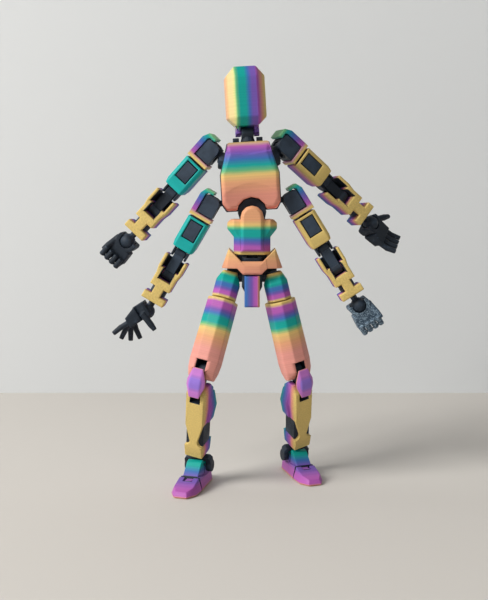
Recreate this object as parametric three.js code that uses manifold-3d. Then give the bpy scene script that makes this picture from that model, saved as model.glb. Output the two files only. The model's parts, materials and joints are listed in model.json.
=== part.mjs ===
// A posable printed figure with four arms: a charcoal jointed frame under faceted rainbow shells.
// Millimetres, +Z up. The figure faces -Y, its left side is +X, and its soles stand on z = 0.
// Each moving body is a group whose userData.hinge gives its axis and its range from this stance.
import * as THREE from "three";
import { ConvexGeometry } from "three/addons/geometries/ConvexGeometry.js";
import { mergeVertices } from "three/addons/utils/BufferGeometryUtils.js";
import Module from "manifold-3d";

// Fits shared by every joint.
const gap = 0.3;
const pinRadius = 0.8;
const roundSides = 12;

// Head and neck.
const headWidth = 12.6;
const headDepth = 14.2;
const headHeight = 18.6;
const headFaceWidth = 7.0;
const headSideFlat = 6.6;
const headCrownDrop = 3.1;
const headCrownDepth = 8.4;
const headChinRise = 2.6;
const headChinDepth = 9.6;
const headBrowDrop = 5.6;
const headBrowLean = 0.5;
const cheekThickness = 1.6;
const cheekDepth = 2.8;
const napeThickness = 1.2;
const neckEyeRadius = 1.6;
const neckEyeWidth = 3.8;
const neckRise = 3.3;
const neckBaseRadius = 2.4;
const neckStemRadius = 1.6;
const neckPegLength = 5.0;
const neckSetback = 2.6;

// Chest: a front shell on a frame that carries the side-lean disc and the shoulder sockets.
const chestHeight = 22.3;
const chestTopWidth = 12.9;
const chestWidth = 18.5;
const chestShoulderHeight = 12.3;
const chestCornerHeight = 3.2;
const chestCorner = 1.4;
const chestBottom = 0.9;
const chestShellDepth = 6.0;
const chestBevel = 0.9;
const chestCollarDrop = 3.6;
const chestFrameDepth = 5.6;
const chestFrameBorder = 0.4;
const chestBackInset = 2.6;
const prongInner = 2.8;
const prongThickness = 2.0;
const prongRise = 1.6;
const prongDepth = 2.6;
const leanDiscRadius = 4.6;
const leanDiscWidth = 4.2;
const leanPinRadius = 1.2;

// Waist.
const waistHeight = 13.5;
const waistWingWidth = 16.0;
const waistWingTop = 11.3;
const waistWingBottom = 8.2;
const waistWingCorner = 1.1;
const waistWidth = 11.8;
const waistWidthTop = 5.3;
const waistDepth = 8.8;
const waistCorner = 2.0;
const waistLobeWidth = 7.4;
const waistLobeTop = 15.7;
const waistPanelDepth = 1.3;
const waistPanelBevel = 0.9;
const waistPanelFoot = 0.8;
const waistPostRadius = 1.9;
const waistPostHeight = 5.0;

// Pelvis.
const hipHeight = 69.5;
const hipDrop = 7.4;
const hipSpacing = 14.4;
const pelvisWingWidth = 15.0;
const pelvisWingRise = 2.0;
const pelvisWidth = 19.6;
const pelvisSkirtDrop = 4.3;
const pelvisNotchWidth = 9.6;
const pelvisTipWidth = 6.0;
const pelvisTipDrop = 6.2;
const pelvisValleyWidth = 6.8;
const pelvisValleyDrop = 2.0;
const pelvisFront = 6.6;
const pelvisBack = 4.8;
const pelvisWall = 1.4;
const pelvisBevel = 0.6;
const pelvisKeelWidth = 4.2;
const pelvisKeelDepth = 1.3;
const pelvisCreaseWidth = 16.8;
const pelvisCreaseTopWidth = 14.0;
const pelvisFlankDepth = 2.2;
const pelvisLipDrop = 1.7;
const pelvisLipDepth = 0.8;
const pelvisFrameWidth = 6.6;
const pelvisFrameDepth = 8.0;
const pelvisFrameDrop = 12.4;
const hipPlateWidth = 16.4;
const hipPlateDrop = 7.2;
const hipPlateThickness = 1.0;
const flapWidth = 4.9;
const flapTop = 6.6;
const flapBottom = 16.8;
const flapThickness = 1.5;
const flapBevel = 0.5;
const flapPegRadius = 1.1;
const flapPegLength = 2.0;

// Legs, measured down from the hip along the thigh.
const hipPegRadius = 1.7;
const hipPegLength = 3.4;
const hipEyeRadius = 2.0;
const hipEyeWidth = 3.2;
const upperThighWidth = 7.8;
const upperThighTopWidth = 5.2;
const upperThighTop = 1.5;
const upperThighShoulder = 1.8;
const upperThighDepth = 8.6;
const upperThighLength = 7.6;
const swivelPegRadius = 1.8;
const swivelPegLength = 4.6;
const thighWidth = 9.0;
const thighDepth = 9.6;
const thighFaceWidth = 3.8;
const thighKneeWidth = 9.8;
const thighKneeDepth = 8.8;
const thighLength = 31.6;
const kneeTineRadius = 2.7;
const kneeSlotRise = 3.0;
const kneeLinkWidth = 2.8;
const kneeEyeRadius = 2.2;
const kneeLinkLength = 6.6;
const kneecapWidth = 6.3;
const kneecapHeight = 9.8;
const kneecapThickness = 1.7;
const kneecapFront = 6.1;
const kneecapTipWidth = 3.4;
const shinLength = 23.0;
const shinWidth = 7.2;
const shinFront = 4.0;
const shinBack = 4.8;
const shinFaceWidth = 6.0;
const calfBottom = 11.6;
const calfWidth = 8.8;
const calfTop = 1.0;
const shinStripWidth = 2.6;
const shinStripThickness = 1.5;
const shinCoreWidth = 6.0;
const shinCuffTop = 19.4;
const shinCuffWidth = 6.8;
const shinCuffRise = 1.5;
const shinCuffDepth = 8.0;
const shinFlareSteps = 3;

// Ankle and foot.
const ankleRollRange = 8;
const anklePitchBack = 5;
const anklePitchOn = 28;
const ankleEyeRadius = 1.7;
const ankleEyeWidth = 2.4;
const ankleCuffDrop = 1.0;
const ankleBridgeDrop = 2.4;
const ankleBridgeHeight = 1.2;
const ankleBridgeDepth = 2.8;
const anklePivotDrop = 5.9;
const ankleEarRadius = 2.1;
const ankleEarThickness = 1.7;
const footPivotHeight = 6.4;
const footHubRadius = 1.9;
const footInstepWidth = 5.2;
const footInstepRise = 2.6;
const footInstepSetback = 3.2;
const footInstepLength = 4.9;
const footHeelLength = 7.2;
const footHeelWidth = 6.6;
const footHeelHeight = 3.4;
const footWidth = 8.6;
const footBallHeight = 4.6;
const toeHingeReach = 8.8;
const toeHingeHeight = 2.7;
const toeLength = 9.3;
const toeTipWidth = 4.6;
const toeTipHeight = 2.1;
const toeTongueWidth = 2.4;
const toeEyeRadius = 1.2;
const toeNoseRun = 0.96;
const toePinRadius = 0.5;
const soleBevel = 0.5;

// Shoulders. The upper sockets lie on the sloping shoulders of the chest, the lower on its sides.
const socketBallRadius = 1.7;
const socketDepth = 2.4;
const socketNeckRadius = 1.0;
const socketSetback = 2.4;
const upperSocketHeight = 16.6;
const upperSocketInset = 0.85;
const lowerSocketHeight = 3.4;
const shoulderDiscRadius = 2.8;
const shoulderDiscThickness = 2.0;
const upperEyeReach = 4.5;
const upperEyeRise = 2.8;
const lowerEyeReach = 2.3;
const lowerEyeRise = 0;
const shoulderEyeRadius = 1.5;
const shoulderEyeWidth = 2.4;
const stemAllowance = 8;

// Arms, measured from the raise pivot along the arm. The arm's own axis lies outside that pivot.
const armOffset = 1.5;
const shoulderRound = 1.9;
const shoulderBlockHalf = 2.0;
const shoulderBlockTop = 1.9;
const shoulderBlockBottom = 4.7;
const shoulderBlockDepth = 6.8;
const capThickness = 1.7;
const capRoof = 1.1;
const capDepth = 7.6;
const capRingHeight = 1.4;
const capLip = 2.4;
const armWidth = 7.5;
const armDepth = 8.6;
const armCorner = 0.9;
const armShellLength = 11.0;
const armWall = 0.85;
const armFrontWall = 0.9;
const armWindowWidth = 4.7;
const armWindowTop = 0.8;
const armWindowHeight = 6.5;
const swivelStemRadius = 1.4;
const swivelStemLength = 4.6;
const elbowDrop = 1.7;
const elbowEyeRadius = 1.8;
const elbowLinkWidth = 3.4;
const elbowLinkLength = 8.0;
const elbowWaist = 1.2;
const forkThickness = 0.7;
const forearmTineRise = 6.2;
const forearmTineThickness = 1.1;
const forearmStepRise = 1.6;
const forearmBodyWidth = 7.2;
const forearmDepth = 7.6;
const forearmBackWall = 0.9;
const forearmBackRise = 5.4;
const forearmSlotDrop = 2.3;
const forearmBodyDrop = 5.0;
const forearmNotch = 2.7;
const forearmNeckWidth = 3.2;
const forearmBarHeight = 2.5;
const forearmBarWidth = 8.0;
const forearmBevel = 0.5;
const wristStemRadius = 1.5;
const wristStemTop = 3.3;
const wristCollarRadius = 2.7;
const wristNeckRadius = 1.1;
const wristBallRadius = 2.6;
const wristReach = 3.9;

// Hands.
const handCupRadius = 3.7;
const handFront = 1.7;
const handBack = 3.5;
const handMouthHeight = 1.0;
const palmLength = 7.0;
const palmWidth = 8.2;
const palmThickness = 3.6;
const fingerRadius = 1.0;
const fingerTipRadius = 0.82;
const fingerLength = 3.8;
const fingerTipLength = 3.2;
const fingerSides = 8;
const fingerOverlap = 0.43;
const fingerTaper = 0.93;
const thumbRadius = 1.2;
const thumbLength = 4.4;

// The stance: degrees that each limb is turned from hanging straight.
const chestLean = 3.5;
const headTurn = 5;
const rightLeg = { side: -1, spread: 15.5, forward: 15, toeOut: 16, ankleTurn: 5 };
const leftLeg = { side: 1, spread: 13.5, forward: -2, toeOut: 26, ankleTurn: 11 };
const upperRightArm = { side: -1, upper: true, raise: 46.5, back: 10, bend: 1.5, twist: 0 };
const upperLeftArm = { side: 1, upper: true, raise: 47.5, back: 22, bend: 1, twist: 26 };
const lowerRightArm = { side: -1, upper: false, raise: 34, back: 4, bend: 1, twist: -92 };
const lowerLeftArm = { side: 1, upper: false, raise: 28.5, back: 4, bend: 1, twist: 0 };

// How far each joint turns from that stance, in degrees.
const waistTwistRange = [-25, 25];
const chestLeanRange = [-12, 12];
const neckTurnRange = [-60, 60];
const headNodRange = [-30, 30];
const armSwivelRange = [-60, 60];
const elbowUpperRange = [-45, 0];
const elbowLowerRange = [-75, 0];
const wristTwistRange = [-80, 80];
const wristBendRange = [-30, 30];
const wristBendLimit = 43;
const hipSwingRange = [-40, 25];
const hipSpreadRange = [-10, 14];
const thighSwivelRange = [-30, 25];
const kneeUpperRange = [-18, 34];
const kneeLowerRange = [-15, 34];
const toeBendRange = [-20, 0];

// How each hand is held: the curl of both finger joints, what each finger adds to it, their fan, the
// thumb's turn and the bend of the wrist.
const fist = { curl: 56, tipCurl: 168, step: 0, fan: 0, thumbOut: 8, thumbForward: 24, bend: 5 };
const openPalm = { curl: 12, tipCurl: 34, step: 4, fan: 4, thumbOut: 52, thumbForward: 10, bend: 10 };
const spreadHand = { curl: 0, tipCurl: 8, step: 25, fan: 0, thumbOut: 16, thumbForward: 95, bend: 28 };
const curledHand = { curl: 50, tipCurl: 160, step: 0, fan: 0, thumbOut: 10, thumbForward: 20, bend: 8 };

const charcoal = new THREE.MeshStandardMaterial({ color: 0x2b3038, roughness: 0.6, metalness: 0 });
const violet = new THREE.MeshStandardMaterial({ color: 0x7a5fae, roughness: 0.4, metalness: 0 });
const teal = new THREE.MeshStandardMaterial({ color: 0x1fa39a, roughness: 0.4, metalness: 0 });
const peach = new THREE.MeshStandardMaterial({ color: 0xe0a07e, roughness: 0.4, metalness: 0 });
const gold = new THREE.MeshStandardMaterial({ color: 0xd3b15c, roughness: 0.5, metalness: 0 });

// The shoulders slope from the chest's corners to its top, and the sockets lie along its sides.
const shoulderFall = (chestWidth - chestTopWidth) / 2;
const shoulderRun = chestHeight - chestShoulderHeight;
const upperSocketTilt = THREE.MathUtils.radToDeg(Math.atan2(shoulderFall, shoulderRun));
const upperSocketEdge =
  chestTopWidth / 2 + (shoulderFall * (chestHeight - upperSocketHeight)) / shoulderRun;
const upperSocketHalf = upperSocketEdge - upperSocketInset;
const lowerSocketHalf = chestWidth / 2 + chestFrameBorder;

const wasm = await Module();
wasm.setup();
const weld = 1e-4;
const deg = THREE.MathUtils.degToRad;

// A closed geometry as a solid that can be joined and cut.
function solid(geometry) {
  const bare = geometry.index ? geometry.toNonIndexed() : geometry.clone();
  bare.deleteAttribute("normal");
  bare.deleteAttribute("uv");
  const merged = mergeVertices(bare, weld);
  return new wasm.Manifold(
    new wasm.Mesh({
      numProp: 3,
      vertProperties: new Float32Array(merged.attributes.position.array),
      triVerts: new Uint32Array(merged.index.array),
    }),
  );
}

function geometryOf(made) {
  const { vertProperties, triVerts } = made.getMesh();
  const cut = new THREE.BufferGeometry();
  cut.setAttribute("position", new THREE.BufferAttribute(vertProperties, 3));
  cut.setIndex(new THREE.BufferAttribute(triVerts, 1));
  const geometry = mergeVertices(cut, weld);
  const corners = geometry.index.array;
  const faces = [];
  for (let i = 0; i < corners.length; i += 3) {
    const [a, b, c] = corners.slice(i, i + 3);
    if (a !== b && b !== c && c !== a) faces.push(a, b, c);
  }
  geometry.setIndex(faces);
  geometry.computeVertexNormals();
  return geometry;
}

function join(...parts) {
  return parts.reduce((whole, part) => whole.add(part));
}

function block(x0, x1, y0, y1, z0, z1) {
  const box = new THREE.BoxGeometry(Math.abs(x1 - x0), Math.abs(y1 - y0), Math.abs(z1 - z0));
  return solid(box.translate((x0 + x1) / 2, (y0 + y1) / 2, (z0 + z1) / 2));
}

function rodGeometry(radius, length, endRadius = radius, sides = roundSides) {
  return new THREE.CylinderGeometry(endRadius, radius, length, sides);
}

function barX(radius, x0, x1, y = 0, z = 0) {
  const rod = rodGeometry(radius, Math.abs(x1 - x0)).rotateZ(Math.PI / 2);
  return solid(rod.translate((x0 + x1) / 2, y, z));
}

function barY(radius, y0, y1, x = 0, z = 0) {
  return solid(rodGeometry(radius, Math.abs(y1 - y0)).translate(x, (y0 + y1) / 2, z));
}

function barZ(radius, z0, z1, x = 0, y = 0, topRadius = radius) {
  const rod = rodGeometry(radius, z1 - z0, topRadius).rotateX(Math.PI / 2);
  return solid(rod.translate(x, y, (z0 + z1) / 2));
}

function ball(radius, x = 0, y = 0, z = 0) {
  const rings = Math.round((roundSides * 2) / 3);
  return solid(new THREE.SphereGeometry(radius, roundSides, rings).translate(x, y, z));
}

function hull(points) {
  return solid(new ConvexGeometry(points.map((point) => new THREE.Vector3(...point))));
}

// The corners of one level of a faceted piece: a flat face and back, flat sides, cut corners.
function level(z, halfWidth, front, back, faceHalf, sideHalf) {
  const corners = [];
  for (const side of [-1, 1]) {
    if (faceHalf < halfWidth) {
      const middle = (front + back) / 2;
      corners.push([side * halfWidth, middle - sideHalf, z], [side * halfWidth, middle + sideHalf, z]);
    }
    corners.push([side * Math.min(faceHalf, halfWidth), front, z]);
    corners.push([side * Math.min(faceHalf, halfWidth), back, z]);
  }
  return corners;
}

// A flat outline in X and Z, extruded along Y from back to front, with its edges cut off.
function slab(outline, front, back, bevel) {
  const shape = new THREE.Shape(outline.map(([x, z]) => new THREE.Vector2(x, z)));
  const extruded = new THREE.ExtrudeGeometry(shape, {
    depth: back - front - 2 * bevel,
    bevelEnabled: bevel > 0,
    bevelThickness: bevel,
    bevelSize: bevel,
    bevelOffset: -bevel,
    bevelSegments: 1,
  });
  return solid(extruded.rotateX(Math.PI / 2).translate(0, back - bevel, 0));
}

// The room that a stem needs beside an eye while it turns about Y between two directions.
function sweep(reach, halfThickness, halfDepth, fromAngle, toAngle) {
  const steps = Math.max(1, Math.ceil(Math.abs(toAngle - fromAngle) / deg(30)));
  const outline = [];
  const edge = (angle, along, across) => [
    Math.cos(angle) * along - Math.sin(angle) * across,
    Math.sin(angle) * along + Math.cos(angle) * across,
  ];
  const behind = -pinRadius - gap;
  outline.push(edge(fromAngle, behind, -halfThickness));
  for (let i = 0; i <= steps; i += 1) {
    const angle = fromAngle + ((toAngle - fromAngle) * i) / steps;
    if (i === 0) outline.push(edge(angle, reach, -halfThickness));
    outline.push(edge(angle, reach / Math.cos(deg(15)), 0));
    if (i === steps) outline.push(edge(angle, reach, halfThickness));
  }
  outline.push(edge(toAngle, behind, halfThickness));
  return slab(outline, -halfDepth, halfDepth, 0);
}

function headShell() {
  const bottom = neckEyeRadius + gap;
  const top = bottom + headHeight;
  const face = headFaceWidth / 2;
  const half = headWidth / 2;
  const front = -headDepth / 2;
  const side = headSideFlat / 2;
  const skull = hull([
    ...level(bottom, face, -headChinDepth / 2, headChinDepth / 2, face, side),
    ...level(bottom + headChinRise, half, front, -front, face, side),
    ...level(top - headBrowDrop, half, front, -front, face, side),
    ...level(top - headCrownDrop, half, front + headBrowLean, -front - headBrowLean, face, side),
    ...level(top, face, -headCrownDepth / 2, headCrownDepth / 2, face, side),
  ]);
  const inner = neckEyeWidth / 2 + gap;
  const outer = inner + cheekThickness;
  const cheeks = [-1, 1].map((hand) =>
    join(
      barX(cheekDepth / 2, hand * inner, hand * outer),
      block(hand * inner, hand * outer, -cheekDepth / 2, cheekDepth / 2, 0, bottom + headChinRise / 2),
    ),
  );
  const napeFront = neckEyeRadius + gap;
  const nape = block(-outer + gap, outer - gap, napeFront, napeFront + napeThickness, gap, bottom + gap);
  return join(skull, ...cheeks, nape, barX(pinRadius, -outer + gap, outer - gap));
}

function neckPost() {
  const eyeHalf = neckEyeWidth / 2;
  const post = join(
    barX(neckEyeRadius, -eyeHalf, eyeHalf, 0, neckRise),
    block(-eyeHalf, eyeHalf, -neckEyeRadius, neckEyeRadius, neckRise / 2, neckRise),
    barZ(neckBaseRadius, gap, neckRise / 2 + gap, 0, 0, eyeHalf),
    barZ(neckStemRadius, -neckPegLength, neckRise / 2),
  );
  return post.subtract(barX(pinRadius + gap, -neckEyeWidth, neckEyeWidth, 0, neckRise));
}

// The chest seen from the front, grown by a margin on its sides and foot.
function chestOutline(margin) {
  const half = chestWidth / 2 + margin;
  const right = [
    [half - chestCorner, chestBottom - margin],
    [half, chestCornerHeight - margin],
    [half, chestShoulderHeight],
    [chestTopWidth / 2 + margin, chestHeight],
  ];
  const left = right.map(([x, z]) => [-x, z]).reverse();
  return [...right, ...left];
}

function chestShell() {
  const edge = chestOutline(0);
  const middle = (chestHeight + chestBottom) / 2;
  const frontFace = -chestShellDepth;
  const inset = ([x, z]) => [
    x - Math.sign(x) * chestBevel,
    z > middle && z === chestHeight ? z - chestCollarDrop : z + (z < middle ? chestBevel : 0),
  ];
  const sideFront = frontFace + chestBevel;
  const shell = hull([
    ...edge.map(([x, z]) => [x, -gap, z]),
    ...edge.map(([x, z]) => [x, sideFront, z]),
    ...edge.map(inset).map(([x, z]) => [x, frontFace, z]),
  ]);
  return shell.subtract(barY(leanDiscRadius + gap, -chestShellDepth - gap, gap));
}

function chestFrame() {
  const edge = chestOutline(chestFrameBorder);
  const backHalf = (x) => x - Math.sign(x) * chestBackInset;
  const body = hull([
    ...edge.map(([x, z]) => [x, 0, z]),
    ...edge.map(([x, z]) => [x, chestFrameDepth / 2, z]),
    ...edge.map(([x, z]) => [backHalf(x), chestFrameDepth, z]),
  ]);
  const discHalf = leanDiscWidth / 2;
  const hollow = barY(leanDiscRadius + gap, discHalf, chestFrameDepth + gap);
  const prongs = [-1, 1].map((hand) =>
    block(
      hand * prongInner,
      hand * (prongInner + prongThickness),
      neckSetback - prongDepth / 2,
      neckSetback + prongDepth / 2,
      chestHeight - prongRise,
      chestHeight + prongRise,
    ),
  );
  const disc = barY(leanDiscRadius, -discHalf, discHalf);
  const neckBore = barZ(
    neckStemRadius + gap,
    chestHeight - neckPegLength - gap,
    chestHeight + gap,
    0,
    neckSetback,
  );
  const pinBore = barY(leanPinRadius + gap, -leanDiscWidth, leanDiscWidth);
  return join(body.subtract(hollow), disc, ...prongs).subtract(neckBore).subtract(pinBore);
}

function waistShell() {
  const half = waistWidth / 2;
  const wing = waistWingWidth / 2;
  const front = -waistDepth / 2;
  const back = waistDepth / 2;
  const face = half - waistCorner;
  const side = back - waistCorner;
  const trunk = hull([
    ...level(0, half, front, back, face, side),
    ...level(waistWingBottom, half, front, back, face, side),
  ]);
  const wings = hull([
    ...level(waistWidthTop, half - gap, front + gap, back - gap, face, side),
    ...level(waistWingBottom, wing, front, back, half, side / 2),
    ...level(waistWingTop - waistWingCorner, wing, front, back, half, side / 2),
    ...level(waistWingTop, wing - waistWingCorner, front + gap, back - gap, half, side / 2),
  ]);
  const lobeHalf = waistLobeWidth / 2;
  const slotHalf = leanDiscWidth / 2 + gap;
  const lobeCentre = waistLobeTop - lobeHalf;
  const panelFront = front - waistPanelDepth;
  const rim = (radius, y) => {
    const foot = waistPanelFoot + lobeHalf - radius;
    const points = [[-radius, y, foot], [radius, y, foot]];
    for (let i = 0; i <= roundSides / 2; i += 1) {
      const angle = (2 * Math.PI * i) / roundSides;
      points.push([radius * Math.cos(angle), y, lobeCentre + radius * Math.sin(angle)]);
    }
    return points;
  };
  const panel = hull([
    ...rim(lobeHalf - waistPanelBevel, panelFront),
    ...rim(lobeHalf, panelFront + waistPanelBevel),
    ...rim(lobeHalf, -slotHalf),
  ]);
  const rear = join(
    barY(lobeHalf, slotHalf, back, 0, lobeCentre),
    block(-lobeHalf, lobeHalf, slotHalf, back, waistPanelFoot, lobeCentre),
  );
  const discRoom = join(
    barY(leanDiscRadius + gap, -slotHalf, slotHalf, 0, waistHeight),
    block(
      -leanDiscRadius - gap,
      leanDiscRadius + gap,
      -slotHalf,
      slotHalf,
      waistHeight,
      waistLobeTop + gap,
    ),
  );
  const postBore = barZ(waistPostRadius + gap, -gap, waistPostHeight + gap);
  const pin = barY(leanPinRadius, panelFront + gap, back - gap, 0, waistHeight);
  return join(trunk, wings, panel, rear).subtract(discRoom).subtract(postBore).add(pin);
}

// The cover's plan at one height: a keel in front, wings that fall back from it, and steep flanks.
function pelvisPlan(z, crease, wall) {
  const half = pelvisWidth / 2 - wall;
  const wingFront = -pelvisFront + wall + pelvisKeelDepth;
  return [-1, 1].flatMap((side) => [
    [(side * pelvisKeelWidth) / 2, -pelvisFront + wall, z],
    [side * (crease / 2 - wall), wingFront, z],
    [side * half, wingFront + pelvisFlankDepth, z],
    [side * half, pelvisBack + gap, z],
  ]);
}

function pelvisShell() {
  const right = [
    [pelvisTipWidth / 2, -pelvisTipDrop],
    [pelvisNotchWidth / 2, -pelvisSkirtDrop],
    [pelvisWidth / 2, -pelvisSkirtDrop],
    [pelvisWingWidth / 2, pelvisWingRise],
    [pelvisValleyWidth / 2, -pelvisValleyDrop],
  ];
  const left = right.map(([x, z]) => [-x, z]).reverse();
  const bow = (wall) =>
    hull([
      ...pelvisPlan(-pelvisTipDrop - gap, pelvisCreaseWidth, wall),
      ...pelvisPlan(pelvisWingRise + gap, pelvisCreaseTopWidth, wall),
    ]);
  const lip = hull(
    [-1, 1].flatMap((side) => [
      [(side * pelvisValleyWidth) / 2, -pelvisFront + pelvisLipDepth, -pelvisValleyDrop],
      [(side * pelvisValleyWidth) / 2, -pelvisFront - gap, -pelvisValleyDrop],
      [(side * pelvisKeelWidth) / 2, -pelvisFront - gap, -pelvisValleyDrop - pelvisLipDrop],
    ]),
  );
  const cover = slab([...right, ...left], -pelvisFront, pelvisBack, pelvisBevel)
    .intersect(bow(0))
    .subtract(lip);
  const waistRoom = barZ(
    Math.hypot(waistWidth / 2, waistDepth / 2 - waistCorner) + gap,
    -gap - waistPanelFoot,
    pelvisWingRise + gap,
  );
  const panelReach = waistDepth / 2 + waistPanelDepth;
  const panelRoom = barZ(Math.hypot(panelReach, waistLobeWidth / 2) + gap, 0, pelvisWingRise + gap);
  const innerHalf = pelvisWingWidth / 2 - pelvisWall;
  const inside = block(
    -innerHalf,
    innerHalf,
    -pelvisFront + pelvisWall,
    pelvisBack + gap,
    -pelvisTipDrop - gap,
    -gap - waistPanelFoot,
  );
  return cover.subtract(waistRoom).subtract(panelRoom).subtract(inside.intersect(bow(pelvisWall)));
}

// The frame between the hips. A plate on its back closes the view between the cover and the thighs.
function pelvisFrame() {
  const half = pelvisFrameWidth / 2;
  const face = half - waistCorner / 2;
  const depth = pelvisFrameDepth / 2;
  const top = -gap - waistPanelFoot;
  const body = hull([
    ...level(top, half, -depth, depth, face, depth - waistCorner / 2),
    ...level(waistCorner - pelvisFrameDrop, half, -depth, depth, face, depth - waistCorner / 2),
    ...level(-pelvisFrameDrop, face, -depth + waistCorner, depth - waistCorner, half, half),
  ]);
  const hipBore = barX(hipPegRadius + gap, -half - gap, half + gap, 0, -hipDrop);
  const flapBore = barY(
    flapPegRadius + gap,
    -depth - gap,
    -depth + flapPegLength + gap,
    0,
    (hipDrop - pelvisFrameDrop) / 2 - hipDrop,
  );
  const post = barZ(waistPostRadius, top - gap, waistPostHeight);
  const stemTop = -pelvisSkirtDrop - 2 * gap;
  const plateFront = Math.hypot(upperThighDepth / 2, upperThighShoulder) + 2 * gap;
  const plateBack = plateFront + hipPlateThickness;
  const plateHalf = hipPlateWidth / 2;
  const plate = join(
    block(-plateHalf, plateHalf, plateFront, plateBack, -hipPlateDrop, -gap),
    block(-face, face, depth - gap, plateBack - gap, -hipPlateDrop + gap, stemTop),
  );
  return body.subtract(hipBore).subtract(flapBore).add(post).add(plate);
}

function crotchFlap() {
  const half = flapWidth / 2;
  const back = -pelvisFrameDepth / 2 - gap;
  const outline = [
    [-half, -flapBottom],
    [half, -flapBottom],
    [half, -flapTop],
    [-half, -flapTop],
  ];
  const pegHeight = (hipDrop - pelvisFrameDrop) / 2 - hipDrop;
  return join(
    slab(outline, back - flapThickness, back, flapBevel),
    barY(flapPegRadius, back - flapThickness / 2, back + gap + flapPegLength, 0, pegHeight),
  );
}

// Turning about Y, the peg of a hip leaves the thigh on its inner side.
function hipJoint(side) {
  const eyeHalf = hipEyeWidth / 2;
  const inner = hipSpacing / 2 - pelvisFrameWidth / 2;
  const joint = join(
    barX(hipPegRadius, -side * (inner + hipPegLength - gap), 0),
    barY(hipEyeRadius, -eyeHalf, eyeHalf),
  );
  return joint.subtract(barY(pinRadius + gap, -hipEyeWidth, hipEyeWidth));
}

function upperThigh(leg) {
  const half = upperThighWidth / 2;
  const depth = upperThighDepth / 2;
  const top = upperThighTopWidth / 2;
  const shoulder = -upperThighShoulder;
  const face = thighFaceWidth / 2;
  const shell = hull([
    ...level(-upperThighLength, half, -depth, depth, face, depth / 2),
    ...level(shoulder, half, -depth, depth, face, depth / 2),
    ...level(upperThighTop, top, -depth / 2, depth / 2, face, depth / 3),
  ]);
  const slotHalf = hipEyeWidth / 2 + gap;
  const inward = leg.side > 0 ? Math.PI : 0;
  const rest = inward - deg(leg.side * leg.spread);
  const room = deg(26);
  const pegRoom = sweep(upperThighWidth, hipPegRadius + gap, slotHalf, rest - room, rest + room);
  const eyeRoom = barY(hipEyeRadius + gap, -slotHalf, slotHalf);
  const pin = barY(pinRadius, -depth / 2 - gap, depth / 2 + gap);
  const foot = -upperThighLength;
  const peg = barZ(swivelPegRadius, foot - swivelPegLength, foot + gap);
  return shell.subtract(pegRoom).subtract(eyeRoom).add(pin).add(peg);
}

// From here the leg's pieces are measured from their own upper joint.
function thighShell() {
  const top = -gap;
  const knee = upperThighLength - thighLength;
  const half = thighWidth / 2;
  const depth = thighDepth / 2;
  const kneeHalf = thighKneeWidth / 2;
  const kneeDepth = thighKneeDepth / 2;
  const face = thighFaceWidth / 2;
  const tip = knee - kneeTineRadius;
  const shell = hull([
    ...level(top, half, -depth, depth, face, depth / 2),
    ...level(knee + kneeSlotRise, kneeHalf, -kneeDepth, kneeDepth, face, kneeDepth / 2),
    ...level(knee, kneeHalf - gap, -kneeDepth, kneeDepth, face, kneeDepth / 2),
    ...level(tip, kneeHalf - 2 * gap, -kneeTineRadius / 2, kneeTineRadius / 2, face, kneeTineRadius / 3),
  ]);
  const slotHalf = kneeLinkWidth / 2 + gap;
  const slotBack = kneeEyeRadius + 2 * gap;
  const slot = block(-slotHalf, slotHalf, -thighDepth, slotBack, tip - gap, knee + kneeSlotRise)
    .add(block(-slotHalf, slotHalf, 0, thighDepth, tip - gap, knee));
  const bore = barZ(swivelPegRadius + gap, -swivelPegLength - gap, gap);
  const pin = barX(pinRadius, -kneeHalf + 2 * gap, kneeHalf - 2 * gap, 0, knee);
  return shell.subtract(slot).subtract(bore).subtract(kneecapRoom(knee)).add(pin);
}

// The kneecap's room in the thigh or the shin, as it turns about that piece's knee pin.
function kneecapRoom(pinHeight) {
  const half = kneecapWidth / 2 + gap;
  const back = -kneecapFront + kneecapThickness + gap;
  const reach = Math.hypot(kneecapFront, kneecapHeight);
  return block(-half, half, -reach, back + gap, pinHeight - reach, pinHeight + kneeSlotRise)
    .add(block(-half, half, -reach, 0, pinHeight - reach, pinHeight - kneeTineRadius - gap));
}

function kneeLink() {
  const half = kneeLinkWidth / 2;
  const lower = -kneeLinkLength;
  const back = -kneecapFront + kneecapThickness + gap;
  const link = join(
    barX(kneeEyeRadius, -half, half),
    barX(kneeEyeRadius, -half, half, 0, lower),
    block(-half, half, -kneeEyeRadius, kneeEyeRadius / 2, lower, 0),
    block(-half, half, back, 0, lower * 0.7, lower * 0.3),
  );
  return link
    .subtract(barX(pinRadius + gap, -kneeLinkWidth, kneeLinkWidth))
    .subtract(barX(pinRadius + gap, -kneeLinkWidth, kneeLinkWidth, 0, lower));
}

function kneecap() {
  const middle = -kneeLinkLength / 2;
  const half = kneecapHeight / 2;
  const wide = kneecapWidth / 2;
  const tip = kneecapTipWidth / 2;
  const back = -kneecapFront + kneecapThickness;
  const edge = back - kneecapThickness / 3;
  const points = [];
  for (const side of [-1, 1]) {
    for (const y of [back, edge]) {
      points.push([side * tip, y, middle + half], [side * tip, y, middle - half]);
      points.push([side * wide, y, middle + half / 5], [side * wide, y, middle - half / 5]);
    }
    points.push([side * tip, -kneecapFront, middle + half / 6]);
    points.push([side * tip, -kneecapFront, middle - half / 6]);
  }
  return hull(points);
}

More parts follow.
